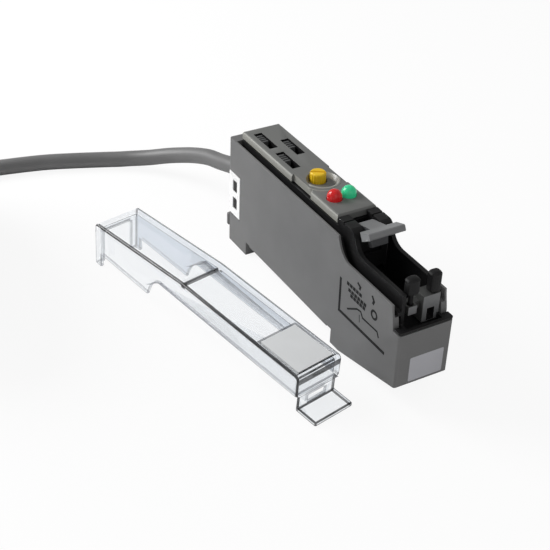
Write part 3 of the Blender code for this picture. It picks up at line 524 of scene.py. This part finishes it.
def dress(node, finish):
    """Give a solid that keeps its mesh its finish."""
    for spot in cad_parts[node].material_slots:
        spot.material = material_of(finish)


# Materials

def linear(text):
    """An sRGB hex colour as linear RGB: each channel through the sRGB transfer curve."""
    channels = [int(text[i:i + 2], 16) / 255 for i in (1, 3, 5)]
    return tuple(c / 12.92 if c <= 0.04045 else ((c + 0.055) / 1.055) ** 2.4 for c in channels)


def put(node, **settings):
    """Set a node's fields, and its own sockets: any name that isn't a field, with _ for a space."""
    for key, value in settings.items():
        if hasattr(node, key):
            setattr(node, key, value)
        else:
            node.inputs[key.replace("_", " ")].default_value = value


def add(tree, kind, links=None, outputs=None, **settings):
    """Add one shader node, set its fields and sockets, link it and return it.

    links maps an input to a (node, output) pair, outputs maps an output to a (node, input) pair.
    """
    node = tree.nodes.new(kind)
    put(node, **settings)
    for key, (source, output) in (links or {}).items():
        tree.links.new(source.outputs[output], node.inputs[key])
    for key, (target, socket) in (outputs or {}).items():
        tree.links.new(node.outputs[key], target.inputs[socket])
    return node


def new_material(name):
    """A node material, with its tree and its Principled shader."""
    material = bpy.data.materials.new(name)
    material.use_nodes = True
    return material, material.node_tree, material.node_tree.nodes["Principled BSDF"]


def surface(tree):
    """The surface input of a material's output, as add() takes it."""
    return tree.nodes["Material Output"], "Surface"


def moulded(name, colour, roughness, grain_mm, depth, specular=0.4, mottle=0.06):
    """Injection-moulded plastic: a spark-eroded grain, a faint drift of tone and a satin sheen.

    The grain is a noise of grain_mm that feeds a bump of the given depth in millimetres and shifts the
    roughness. Tone drifts by the mottle share over centimetres, as flow in the mould leaves it.
    """
    material, tree, shader = new_material(name)
    where = add(tree, "ShaderNodeTexCoord")
    drift = add(
        tree, "ShaderNodeTexNoise", {"Vector": (where, "Object")}, Scale=1 / (9 * MM), Detail=3.0,
    )
    tone = add(tree, "ShaderNodeValToRGB", {"Fac": (drift, "Fac")}, {"Color": (shader, "Base Color")})
    tone.color_ramp.elements[0].color = [c * (1 - mottle) for c in colour] + [1]
    tone.color_ramp.elements[1].color = [min(1.0, c * (1 + mottle)) for c in colour] + [1]
    tone.color_ramp.elements[0].position = 0.3
    tone.color_ramp.elements[1].position = 0.7
    grain = add(
        tree, "ShaderNodeTexNoise", {"Vector": (where, "Object")}, Scale=1 / (grain_mm * MM), Detail=4.0,
    )
    add(
        tree, "ShaderNodeMapRange", {"Value": (grain, "Fac")}, {"Result": (shader, "Roughness")},
        To_Min=roughness - 0.06, To_Max=roughness + 0.06,
    )
    add(
        tree, "ShaderNodeBump", {"Height": (grain, "Fac")}, {"Normal": (shader, "Normal")},
        Strength=0.4, Distance=depth * MM,
    )
    put(shader, IOR=1.52, Specular_IOR_Level=specular)
    return material


def lens(name, colour, glow):
    """Tinted epoxy of a lamp: a glossy clear coat over a dyed body that glows a little from inside."""
    material, tree, shader = new_material(name)
    where = add(tree, "ShaderNodeTexCoord")
    cloud = add(
        tree, "ShaderNodeTexNoise", {"Vector": (where, "Object")}, Scale=1 / (1.4 * MM), Detail=2.0,
    )
    tone = add(tree, "ShaderNodeValToRGB", {"Fac": (cloud, "Fac")}, {"Color": (shader, "Base Color")})
    tone.color_ramp.elements[0].color = [c * 0.8 for c in colour] + [1]
    tone.color_ramp.elements[1].color = [min(1.0, c * 1.15 + 0.02) for c in colour] + [1]
    put(
        shader, Roughness=0.18, IOR=1.53, Specular_IOR_Level=0.3, Coat_Weight=0.15, Coat_Roughness=0.08,
        Subsurface_Weight=0.4, Subsurface_Radius=(0.6, 0.6, 0.6), Subsurface_Scale=0.8 * MM,
        Emission_Color=(*colour, 1), Emission_Strength=glow,
    )
    return material


def clear_plastic(name, tint, roughness, weight):
    """Clear polycarbonate, injection moulded: refracts at 1.58, with faint flow waves in its gloss.

    Part of it passes light straight through, as a thin wall does, so that what lies behind stays clear.
    """
    material, tree, shader = new_material(name)
    where = add(tree, "ShaderNodeTexCoord")
    waves = add(
        tree, "ShaderNodeTexNoise", {"Vector": (where, "Object")}, Scale=1 / (6 * MM), Detail=1.0,
    )
    add(
        tree, "ShaderNodeBump", {"Height": (waves, "Fac")}, {"Normal": (shader, "Normal")},
        Strength=0.15, Distance=0.05 * MM,
    )
    put(shader, Base_Color=(*tint, 1), Roughness=roughness, IOR=1.58, Transmission_Weight=1.0)
    thin = add(tree, "ShaderNodeBsdfTransparent", Color=(*tint, 1))
    add(
        tree, "ShaderNodeMixShader", {1: (thin, "BSDF"), 2: (shader, "BSDF")}, {"Shader": surface(tree)},
        Fac=weight,
    )
    return material


def painted_edge_shade(name, colour, cover):
    """Painted shade on the edges of a clear moulding: a dark, glossy colour in place of the dark line
    that light, led away there, leaves in a clear wall.
    """
    material, tree, shader = new_material(name)
    where = add(tree, "ShaderNodeTexCoord")
    streaks = add(
        tree, "ShaderNodeTexNoise", {"Vector": (where, "Object")}, Scale=1 / (3 * MM), Detail=2.0,
    )
    share = add(
        tree, "ShaderNodeMapRange", {"Value": (streaks, "Fac")}, To_Min=cover * 0.75,
        To_Max=min(1, cover * 1.2),
    )
    put(shader, Base_Color=(*colour, 1), Roughness=0.12, IOR=1.58)
    thin = add(tree, "ShaderNodeBsdfTransparent", Color=(0.97, 0.98, 1.0, 1))
    add(
        tree, "ShaderNodeMixShader", {0: (share, "Result"), 1: (thin, "BSDF"), 2: (shader, "BSDF")},
        {"Shader": surface(tree)},
    )
    return material


def laminate(name, colour, trace):
    """Glass-epoxy board under solder mask: a green coat with paler traces in a 4 mm pattern under it."""
    material, tree, shader = new_material(name)
    where = add(tree, "ShaderNodeTexCoord")
    add(
        tree, "ShaderNodeTexBrick", {"Vector": (where, "Object")}, {"Color": (shader, "Base Color")},
        Color1=(*colour, 1), Color2=(*(c * 0.85 for c in colour), 1), Mortar=(*trace, 1),
        Scale=1 / (4 * MM), Mortar_Size=0.04, offset=0.35,
    )
    put(shader, Roughness=0.35, Coat_Weight=0.3)
    return material


def steel(name, colour):
    """Drawn steel wire: fine rings round the pin make its highlight run along it."""
    material, tree, shader = new_material(name)
    where = add(tree, "ShaderNodeTexCoord")
    rings = add(
        tree, "ShaderNodeTexWave", {"Vector": (where, "Object")}, bands_direction="Y",
        Scale=1 / (0.5 * MM), Distortion=2.0,
    )
    add(
        tree, "ShaderNodeMapRange", {"Value": (rings, "Fac")}, {"Result": (shader, "Roughness")},
        To_Min=0.25, To_Max=0.4,
    )
    put(shader, Base_Color=(*colour, 1), Metallic=1.0)
    return material


def plain_view(tree):
    """1 for rays from the camera or through glass, and 0 for those that light the object."""
    seen = add(tree, "ShaderNodeLightPath")
    return add(
        tree, "ShaderNodeMath", {0: (seen, "Is Camera Ray"), 1: (seen, "Is Transmission Ray")},
        operation="MAXIMUM",
    )


def paper(name, shade, veil):
    """Seamless backdrop paper: matt, with soft shadows.

    The veil is the share of plain white that it shows to the camera, and never to the rays that light
    the object.
    """
    material, tree, shader = new_material(name)
    put(shader, Base_Color=(shade, shade, shade, 1), Roughness=0.9, Specular_IOR_Level=0.1)
    share = add(tree, "ShaderNodeMath", {0: (plain_view(tree), "Value")}, operation="MULTIPLY")
    share.inputs[1].default_value = veil
    glow = add(tree, "ShaderNodeEmission", Color=(1, 1, 1, 1), Strength=1.0)
    add(
        tree, "ShaderNodeMixShader",
        {0: (share, "Value"), 1: (shader, "BSDF"), 2: (glow, "Emission")}, {"Shader": surface(tree)},
    )
    return material


# Each finish: its maker, then that function's values in order. A colour is an sRGB hex value or the name
# of a setting. Moulded: colour, roughness, grain and depth in mm, specular level, drift of tone.
FINISHES = {
    # ABS with a spark-eroded face: satin, evenly grey in soft light. Grain drawn at 0.25 mm to show.
    "case ABS, spark eroded": (moulded, "case_colour", 0.46, 0.25, 0.02),
    # black ABS from the same kind of tool: deep, with a soft sheen on edges only; also the painted shade
    # on the walls of the panel's slots
    "frame ABS, black": (moulded, "frame_colour", 0.5, 0.25, 0.015, 0.25),
    # panel ABS, of a finer grain: looks smoother and paler than the case
    "panel ABS, fine grain": (moulded, "panel_colour", 0.4, 0.2, 0.012, 0.45, 0.04),
    # the same ABS, paler and glossier: a painted highlight on rims, ridges and faces turned to the light
    "panel ABS, polished ridge": (moulded, "#94948E", 0.3, 0.3, 0.006, 0.5, 0.08),
    # dark ABS of the fibre guide: shows its form by its edges
    "guide ABS, dark": (moulded, "#474847", 0.42, 0.2, 0.012, 0.4),
    # the guide's front in a paler grey: a painted lit face, where the key light falls
    "guide ABS, worn face": (moulded, "#747576", 0.38, 0.25, 0.01, 0.45),
    # acetal slides well: black and a little waxy in the switch bodies
    "slider acetal, black": (moulded, "#121213", 0.42, 0.3, 0.008, 0.25),
    # the same, grey, so that the grips show in their slots
    "slider acetal, grey": (moulded, "#4A4B4B", 0.4, 0.3, 0.008, 0.35),
    # dyed nylon of the trimmer: warm yellow, slightly waxy
    "knob nylon, amber": (moulded, "knob_colour", 0.42, 0.3, 0.008, 0.4, 0.05),
    # ABS of the lever, a paler grey, polished by thumbs
    "lever ABS, grey": (moulded, "lever_colour", 0.36, 0.3, 0.01, 0.5),
    # the same lever below its bar, with a coarser grain: darker, a painted shade under the bar
    "lever ABS, dark root": (moulded, "#4A4B4D", 0.5, 0.3, 0.015, 0.3),
    # white ABS round the link windows: matt and bright
    "link ABS, white": (moulded, "#FAFAF9", 0.5, 0.3, 0.01, 0.4, 0.01),
    # acrylic that passes only infrared: nearly black, with a dull shine
    "filter acrylic, dark": (moulded, "#050506", 0.3, 0.6, 0.004, 0.15),
    # PVC jacket: soft grey with a slightly greasy sheen
    "cable PVC, grey": (moulded, "cable_colour", 0.45, 0.35, 0.012, 0.4),
    # satin foil under clear varnish: pale and even
    "plate foil, satin": (moulded, "#E2E4E5", 0.4, 0.2, 0.006, 0.4, 0.03),
    # self-adhesive foil without print: a paler grey than the case
    "label foil, grey": (moulded, "#B2B2B7", 0.45, 0.25, 0.006, 0.4, 0.05),
    # silk-screen ink: flat and dark
    "ink, black": (moulded, "#0E0E0F", 0.6, 0.3, 0.004, 0.2),
    # filled PPS of the optical block: matt black, so that stray light dies in it; also the painted shade
    # on the walls of the guide's hole
    "optics PPS, matt": (moulded, "#1A1A1B", 0.75, 0.2, 0.02, 0.2),
    # cast epoxy of the diodes: dark, smooth and glossy
    "diode epoxy, dark": (moulded, "#15151A", 0.15, 0.8, 0.003, 0.5),
    # dyed epoxy of the lamps: clear colour with one small highlight, glowing a little
    "lamp epoxy, red": (lens, "red_colour", 0.12),
    "lamp epoxy, green": (lens, "green_colour", 0.2),
    # polished polycarbonate of the lid: nearly unseen, but for reflections
    "lid polycarbonate, clear": (clear_plastic, "#FDFEFF", 0.03, 0.1),
    # the lid's wall on the far side, seen through two walls: a painted bluish shade
    "lid polycarbonate, far wall": (clear_plastic, "#F2F5F9", 0.03, 0.15),
    # painted shade on the lid's edges, where light is led away: darkest near, greyer far, pale below
    "lid polycarbonate, dark edge": (painted_edge_shade, "#141516", 0.97),
    "lid polycarbonate, grey edge": (painted_edge_shade, "#36393C", 0.68),
    "lid polycarbonate, pale rim": (painted_edge_shade, "#7E8286", 0.45),
    # solder mask over copper: green with paler traces
    "board laminate, green": (laminate, "#1F5C33", "#4C8A4E"),
    # drawn steel wire of the pin: bright, with its highlight along it
    "pin steel, drawn": (steel, "#BDBDC0"),
    # woven strap: black, with a coarse nap drawn at 0.5 mm
    "strap, woven": (moulded, "#1B1B1D", 0.85, 0.5, 0.12, 0.15),
    # PVC of the bare leads: smooth, in the usual three colours
    "lead PVC, brown": (moulded, "#6B3F22", 0.4, 0.3, 0.006),
    "lead PVC, blue": (moulded, "#2B4F9C", 0.4, 0.3, 0.006),
    "lead PVC, black": (moulded, "#1C1C1D", 0.4, 0.3, 0.006),
    # the floor: matt white paper that fades into the background, with pale shadows
    "backdrop paper, white": (paper, 0.96, FLOOR_VEIL),
}


def colour_of(text):
    """A colour as linear RGB, from an sRGB hex value or from the setting of that name."""
    return linear(text) if text.startswith("#") else getattr(bpy.context.scene.amplifier, text)


def material_of(name):
    """The finished material of that name, made when it is first asked for."""
    if name in bpy.data.materials:
        return bpy.data.materials[name]
    maker, *values = FINISHES[name]
    return maker(name, *(colour_of(v) if isinstance(v, str) else v for v in values))


def colour_field(name, text, what):
    """A colour that a user may change, with an sRGB hex value as its default."""
    return FloatVectorProperty(
        name=name, description=what, default=linear(text), min=0, max=1, size=3, subtype="COLOR",
    )


def number_field(name, value, what, unit="NONE"):
    """A number that a user may change, never below zero."""
    return FloatProperty(name=name, description=what, default=value, min=0, unit=unit)


class AmplifierSettings(bpy.types.PropertyGroup):
    case_colour: colour_field("Case", "#6C6C6C", "Colour of the outer case")
    frame_colour: colour_field("Frame", "#131314", "Colour of the black inner frame")
    panel_colour: colour_field("Panel", "#6C6D6B", "Colour of the control panel")
    lever_colour: colour_field("Lever", "#797A7B", "Colour of the lock lever")
    knob_colour: colour_field("Knob", "#EDC21C", "Colour of the trimmer knob")
    red_colour: colour_field("Red lamp", "#C60C10", "Colour of the left lamp")
    green_colour: colour_field("Green lamp", "#2FC48A", "Colour of the right lamp")
    cable_colour: colour_field("Cable", "#696969", "Colour of the cable's jacket")
    edge_round: number_field("Edge rounding", 0.12 * MM, "Radius of the case's eased edges", "LENGTH")
    key_light: number_field("Key light", 1.03, "Power of the large soft light", "POWER")
    fill_light: number_field("Fill light", 0.28, "Power of the light on the fibre end", "POWER")
    sky: number_field("Sky", 0.41, "Strength of the even light from all round")


# Operators

def hank_path(entry=195):
    """The folded part: a racetrack whose radius and height step between two columns and eight layers.

    Along the racetrack the centre of bend and the angle run in turn: on a fold the angle grows, on a run
    the centre moves. Radius and height are sums of smooth steps 3s^2 - 2s^3, a seventh of a turn long:
    one change of column in each layer, then one step up, so that turns never cross.
    """
    pitch = CABLE_DIAMETER / MM
    fold = math.radians(1) * (HANK_BEND + pitch / 2)
    legs = [0, (270 - entry) * fold, HANK_RUN, 180 * fold, HANK_RUN, (entry - 90) * fold]
    walked = np.cumsum(legs)
    window = 50 / 360
    layer_turns = 2 - 2 * window
    along = np.arange(0, layer_turns * HANK_LAYERS, HANK_STEP / walked[-1])
    place = (along % 1) * walked[-1]
    bend_x = np.interp(place, walked, [0, 0, HANK_RUN, HANK_RUN, 0, 0])
    angle = np.radians(np.interp(place, walked, [entry, 270, 270, 450, 450, entry + 360]))
    radius = np.full_like(along, HANK_BEND + pitch)
    height = np.full_like(along, HANK_BASE)
    for layer in range(HANK_LAYERS):
        start = layer * layer_turns
        across = pitch if layer % 2 else -pitch
        for at, dr, dz in ((start + 1 - window, across, 0), (start + layer_turns, 0, pitch)):
            s = np.clip((along - at) / window, 0, 1)
            radius += dr * s * s * (3 - 2 * s)
            height += dz * s * s * (3 - 2 * s)
    x = bend_x + radius * np.cos(angle)
    y = radius * np.sin(angle)
    return hank_to_world(np.stack([x, y, height], axis=1))


def hank_to_world(points):
    """Points given along and across the hank, in millimetres, set where it lies."""
    c, s = math.cos(HANK_TURN), math.sin(HANK_TURN)
    return points @ np.array([[c, s, 0], [-s, c, 0], [0, 0, 1]]) + np.array([*HANK_PLACE, 0])


def strap_mesh(width=7.0, thick=0.32):
    """The strap round the hank's middle: a flat band swept round a rectangle with rounded corners."""
    pitch = CABLE_DIAMETER / MM
    reach = HANK_BEND + 1.5 * pitch + thick / 2 + 0.05
    low = FLOOR_Z / MM + thick / 2 + 0.02
    high = HANK_BASE + pitch * (HANK_LAYERS - 0.5) + thick / 2 + 0.05
    corner = pitch / 2
    turn = np.radians(np.arange(0, 91, 15))
    loop = []
    for sy, z, start in ((1, high, 0), (-1, high, 90), (-1, low, 180), (1, low, 270)):
        sz = -1 if z == high else 1
        angle = turn + math.radians(start)
        loop += [
            (sy * (reach - corner) + corner * c, z + sz * corner + corner * s, c, s)
            for c, s in zip(np.cos(angle), np.sin(angle))
        ]
    loop = np.array(loop)
    middle = HANK_RUN / 2
    sides = [(sx * width / 2, sz * thick / 2) for sx, sz in ((-1, 1), (1, 1), (1, -1), (-1, -1))]
    rows = [
        np.column_stack([np.full(len(loop), middle + dx), loop[:, :2] + loop[:, 2:] * out])
        for dx, out in sides
    ]
    points = hank_to_world(np.stack(rows, axis=1).reshape(-1, 3)).reshape(len(loop), 4, 3)
    return grid_mesh("cable_strap", points * MM, along=True)


def cut_to_length(path, length):
    """The start of a path that is longer than the length."""
    walked = np.r_[0, np.cumsum(np.linalg.norm(np.diff(path, axis=0), axis=1))]
    keep = int(np.searchsorted(walked, length))
    share = (length - walked[keep - 1]) / (walked[keep] - walked[keep - 1])
    last = path[keep - 1] + share * (path[keep] - path[keep - 1])
    return np.vstack([path[:keep], last])


class AMPLIFIER_OT_cable(bpy.types.Operator):
    """Lay the grey lead along the floor and fold the rest into a strapped hank, its bare leads on top"""

    bl_idname = "amplifier.cable"
    bl_label = "Cable"

    def execute(self, context):
        wound = hank_path()
        entry = wound[0] + np.array(HANK_APPROACH)
        free = curve_through(CABLE_START + CABLE_ROUTE + [tuple(entry)], 4)
        whole = np.vstack([free, wound]) * MM
        sheath = cut_to_length(whole, CABLE_LENGTH)
        beyond = len(sheath)
        ahead = whole[beyond:beyond + LEAD_POINTS]
        others = [smooth(show("cable_strap", strap_mesh(), "strap, woven"))]
        for k, name in enumerate(("brown", "blue", "black")):
            line = np.vstack([sheath[-1] - (sheath[-1] - sheath[-2]) * 0.4, sheath[-1], ahead])
            way = np.gradient(line, axis=0)
            side = np.cross(way, (0, 0, 1))
            side /= np.linalg.norm(side, axis=1)[:, None]
            line = line + side * (k - 1) * LEAD_SPACING * MM * np.linspace(0.75, 1.0, len(line))[:, None]
            line[1:, 2] -= np.linspace(0, LEAD_FALL, len(line) - 1) * MM
            wire = tube(curve_through(line, 3), LEAD_RADIUS * MM, 12)
            mesh = grid_mesh(f"cable_lead_{name}", wire)
            lead = show(f"cable_lead_{name}", mesh, f"lead PVC, {name}")
            others.append(smooth(lead))
        mesh = grid_mesh("cable_run", tube(sheath, CABLE_DIAMETER / 2, 18))
        cable = show(
            "cable_run", mesh, "cable PVC, grey", ROOT, ("cable", "cable_hank"),
        )
        smooth(cable)
        return {"FINISHED"}


class AMPLIFIER_OT_housing(bpy.types.Operator):
    """Case, inner frame, rail latch, fibre guide, keys, link port and strain relief"""

    bl_idname = "amplifier.housing"
    bl_label = "Housing"

    def execute(self, context):
        ease = context.scene.amplifier.edge_round / MM
        case = "case ABS, spark eroded"
        black = "frame ABS, black"
        eased("case_shell", "case", ease, case)
        eased("frame_shell", "inner_frame", 0.1, black, uprights=(38.5, 0.45))
        eased("latch_slide", "rail_latch", 0.12, case, body="latch")
        guide = eased("guide_block", "fibre_guide", 0.08, "guide ABS, dark")
        # painted light: the guide's front face takes a paler finish, a painted lit face
        guide.data.materials.append(material_of("guide ABS, worn face"))
        # painted shade: the walls of the guide's hole take the optics' matt black
        guide.data.materials.append(material_of("optics PPS, matt"))
        (left, right), (low, high) = GUIDE_HOLE_SHADE
        for face in guide.data.polygons:
            x, y, z = face.center / MM
            if face.normal.x > 0.9 and x > GUIDE_LIT_FRONT:
                face.material_index = 1
            elif abs(face.normal.x) < 0.1 and left < y < right and low < z < high:
                face.material_index = 2
        for side in ("left", "right"):
            key = f"fibre_key_{side}"
            eased(f"key_{side}_lock", key, 0.12, black, body=f"key_{side}")
        eased("link_bezel", "link_frame", 0.08, "link ABS, white")
        for place in ("lower", "upper"):
            dress(f"link_window_{place}", "filter acrylic, dark")
        smooth(show(
            "relief_sleeve", relief_mesh(), "cable PVC, grey", ROOT, ("strain_relief",),
        ))
        return {"FINISHED"}


class AMPLIFIER_OT_controls(bpy.types.Operator):
    """Control panel, slide switches, trimmer knob and lamps"""

    bl_idname = "amplifier.controls"
    bl_label = "Controls"

    def execute(self, context):
        # painted highlight: the panel's rounded edges take a paler, glossier finish
        panel = eased(
            "panel_plate", "control_panel", 0.2, "panel ABS, fine grain",
            edge_finish="panel ABS, polished ridge",
        )
        # painted shade: the upright walls of the panel's slots take the frame's black
        panel.data.materials.append(material_of("frame ABS, black"))
        (first, last), reach = SLOT_WALL_SHADE
        for face in panel.data.polygons:
            x, y, _ = face.center / MM
            if abs(face.normal.z) < 0.3 and abs(y) < reach and x < last:
                face.material_index = 2 if x > first else 0
            # painted highlight: faces turned to the left, where the key light falls, take the paler
            # finish
            elif face.normal.y < -0.5:
                face.material_index = 1
        for i in (1, 2, 3):
            dress(f"switch_body_{i}", "slider acetal, black")
            eased(
                f"slider_{i}_grip", f"switch_slider_{i}", 0.07, "slider acetal, grey",
                body=f"slider_{i}",
            )
        dress("trimmer_body", "slider acetal, black")
        smooth(show(
            "knob_fluted", knob_mesh(), "knob nylon, amber", "knob", ("trimmer_knob",),
        ))
        for colour in ("red", "green"):
            smooth(show(
                f"lens_{colour}", lamp_mesh(f"lens_{colour}", f"lamp_{colour}"), f"lamp epoxy, {colour}",
                ROOT, (f"lamp_{colour}",),
            ))
        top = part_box("control_panel")[1][2] / MM
        # painted highlight: pale ridges only on the lit side of the dish round the knob
        for name, *arc in DIAL_HIGHLIGHT_RIDGES:
            ridge = arc_ridge(f"dial_{name}", DIAL_CENTRE, *arc, DIAL_RISE, top)
            smooth(show(f"dial_{name}", ridge, "panel ABS, polished ridge"))
        return {"FINISHED"}


class AMPLIFIER_OT_lever(bpy.types.Operator):
    """Lock lever and its pin"""

    bl_idname = "amplifier.lever"
    bl_label = "Lock lever"

    def execute(self, context):
        lever = eased(
            "lever_arm", "lock_lever", 0.14, "lever ABS, grey", body="lever",
        )
        # painted shade: the lever below its bar takes a darker finish
        lever.data.materials.append(material_of("lever ABS, dark root"))
        for face in lever.data.polygons:
            x, _, z = face.center / MM
            if x > LEVER_ROOT_SHADE[0] and z < LEVER_ROOT_SHADE[1]:
                face.material_index = 1
        dress("lever_pin", "pin steel, drawn")
        return {"FINISHED"}


class AMPLIFIER_OT_lid(bpy.types.Operator):
    """The clear lid and its inlaid plate"""

    bl_idname = "amplifier.lid"
    bl_label = "Lid"

    def execute(self, context):
        lid = show("lid_cover", lid_mesh(), None, stands_for=("lid",))
        # painted shade on the lid's edges and on its wall on the far side
        for finish in ("clear", "dark edge", "grey edge", "pale rim", "far wall"):
            lid.data.materials.append(material_of(f"lid polycarbonate, {finish}"))
        smooth(lid, 30)
        dress("lid_plate", "plate foil, satin")
        return {"FINISHED"}


class AMPLIFIER_OT_inside(bpy.types.Operator):
    """Boards, optical block and diodes"""

    bl_idname = "amplifier.inside"
    bl_label = "Inner pieces"

    def execute(self, context):
        for node in ("control_board", "main_board"):
            dress(node, "board laminate, green")
        dress("optical_block", "optics PPS, matt")
        for node in ("emitter_diode", "receiver_diode"):
            dress(node, "diode epoxy, dark")
        return {"FINISHED"}


class AMPLIFIER_OT_prints(bpy.types.Operator):
    """Printed lines on the left side and the plain label on the fibre end"""

    bl_idname = "amplifier.prints"
    bl_label = "Prints and label"

    def execute(self, context):
        low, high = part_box("case")
        face = low[1] / MM
        lines = dict(PRINTED_LINES)
        for row, (x, z, count) in enumerate(DASH_ROWS):
            for k in range(count):
                place = x + DASH_PITCH * k
                lines[f"dash_{row}_{k}"] = ([(place, z), (place + DASH_SIZE[0], z - 0.06)], DASH_SIZE[1])
        turn = np.linspace(0, math.tau, 25)
        ring = np.stack([np.cos(turn), np.sin(turn)], axis=1) * RING_SIZE[0] + np.array(RING_CENTRE)
        lines["ring"] = (ring, RING_SIZE[1])
        for name, (line, width) in lines.items():
            mesh = grid_mesh(f"print_{name}", ribbon(line, width, face + INK_INSIDE, face - INK_OUTSIDE))
            show(f"print_{name}", mesh, "ink, black")
        centre = (high[0] / MM - 0.03, *LABEL_CENTRE)
        mesh = grid_mesh("front_label", label_points(centre, LABEL_SIZE))
        smooth(show("front_label", mesh, "label foil, grey"))
        return {"FINISHED"}


def area_light(name, power, place, target, size):
    """A round soft light at a place, turned to its target."""
    data = bpy.data.lights.new(name, "AREA")
    data.shape = "DISK"
    data.size = size
    data.energy = power
    place = Vector(place)
    turn = (Vector(target) - place).to_track_quat("-Z", "Y").to_matrix().to_4x4()
    link(name, data).matrix_world = Matrix.Translation(place) @ turn


class AMPLIFIER_OT_studio(bpy.types.Operator):
    """Camera, floor, soft lights and white surroundings"""

    bl_idname = "amplifier.studio"
    bl_label = "Studio"

    def execute(self, context):
        scene = context.scene
        s = scene.amplifier
        camera_data = bpy.data.cameras.new("camera")
        camera_data.lens = CAMERA_LENS
        camera_data.clip_start = 0.01
        camera = link("camera", camera_data)
        turn = Matrix(CAMERA_AXES).transposed().to_4x4()
        camera.matrix_world = Matrix.Translation(CAMERA_PLACE) @ turn
        scene.camera = camera

        span = np.array([-FLOOR_REACH, FLOOR_REACH])
        x, y = np.meshgrid(span, span, indexing="ij")
        corners = np.stack([x, y, np.full_like(x, FLOOR_Z)], axis=-1).reshape(-1, 3)
        mesh = bpy.data.meshes.new("floor")
        mesh.from_pydata(corners, [], [(0, 2, 3, 1)])
        floor = link("floor", mesh)
        mesh.materials.append(material_of("backdrop paper, white"))

        world = bpy.data.worlds.new("studio")
        scene.world = world
        world.use_nodes = True
        tree = world.node_tree
        tree.nodes.clear()
        view = plain_view(tree)
        level = add(tree, "ShaderNodeMapRange", {"Value": (view, "Value")}, To_Min=s.sky, To_Max=1.0)
        sky = add(tree, "ShaderNodeBackground", {"Strength": (level, "Result")}, Color=(1, 1, 1, 1))
        add(tree, "ShaderNodeOutputWorld", {"Surface": (sky, "Background")})

        area_light("key", s.key_light, *KEY_LIGHT)
        area_light("fill", s.fill_light, *FILL_LIGHT)
        scene.view_settings.view_transform = "Standard"
        return {"FINISHED"}


OPERATORS = (
    AMPLIFIER_OT_studio, AMPLIFIER_OT_cable, AMPLIFIER_OT_housing, AMPLIFIER_OT_controls,
    AMPLIFIER_OT_lever, AMPLIFIER_OT_lid, AMPLIFIER_OT_inside, AMPLIFIER_OT_prints,
)


class AMPLIFIER_PT_panel(bpy.types.Panel):
    """Lists the amplifier's sizes, colours and pieces"""

    bl_idname = "AMPLIFIER_PT_panel"
    bl_label = "Fibre amplifier"
    bl_space_type = "VIEW_3D"
    bl_region_type = "UI"
    bl_category = "Amplifier"

    def draw(self, context):
        for field in AmplifierSettings.__annotations__:
            self.layout.prop(context.scene.amplifier, field)
        for operator in OPERATORS:
            self.layout.operator(operator.bl_idname)


CLASSES = (AmplifierSettings, *OPERATORS, AMPLIFIER_PT_panel)


def register():
    for item in CLASSES:
        bpy.utils.register_class(item)
    bpy.types.Scene.amplifier = PointerProperty(type=AmplifierSettings)


def unregister():
    del bpy.types.Scene.amplifier
    for item in reversed(CLASSES):
        bpy.utils.unregister_class(item)


def main():
    register()
    for operator in OPERATORS:
        group, name = operator.bl_idname.split(".")
        getattr(getattr(bpy.ops, group), name)()


if __name__ == "__main__":
    main()
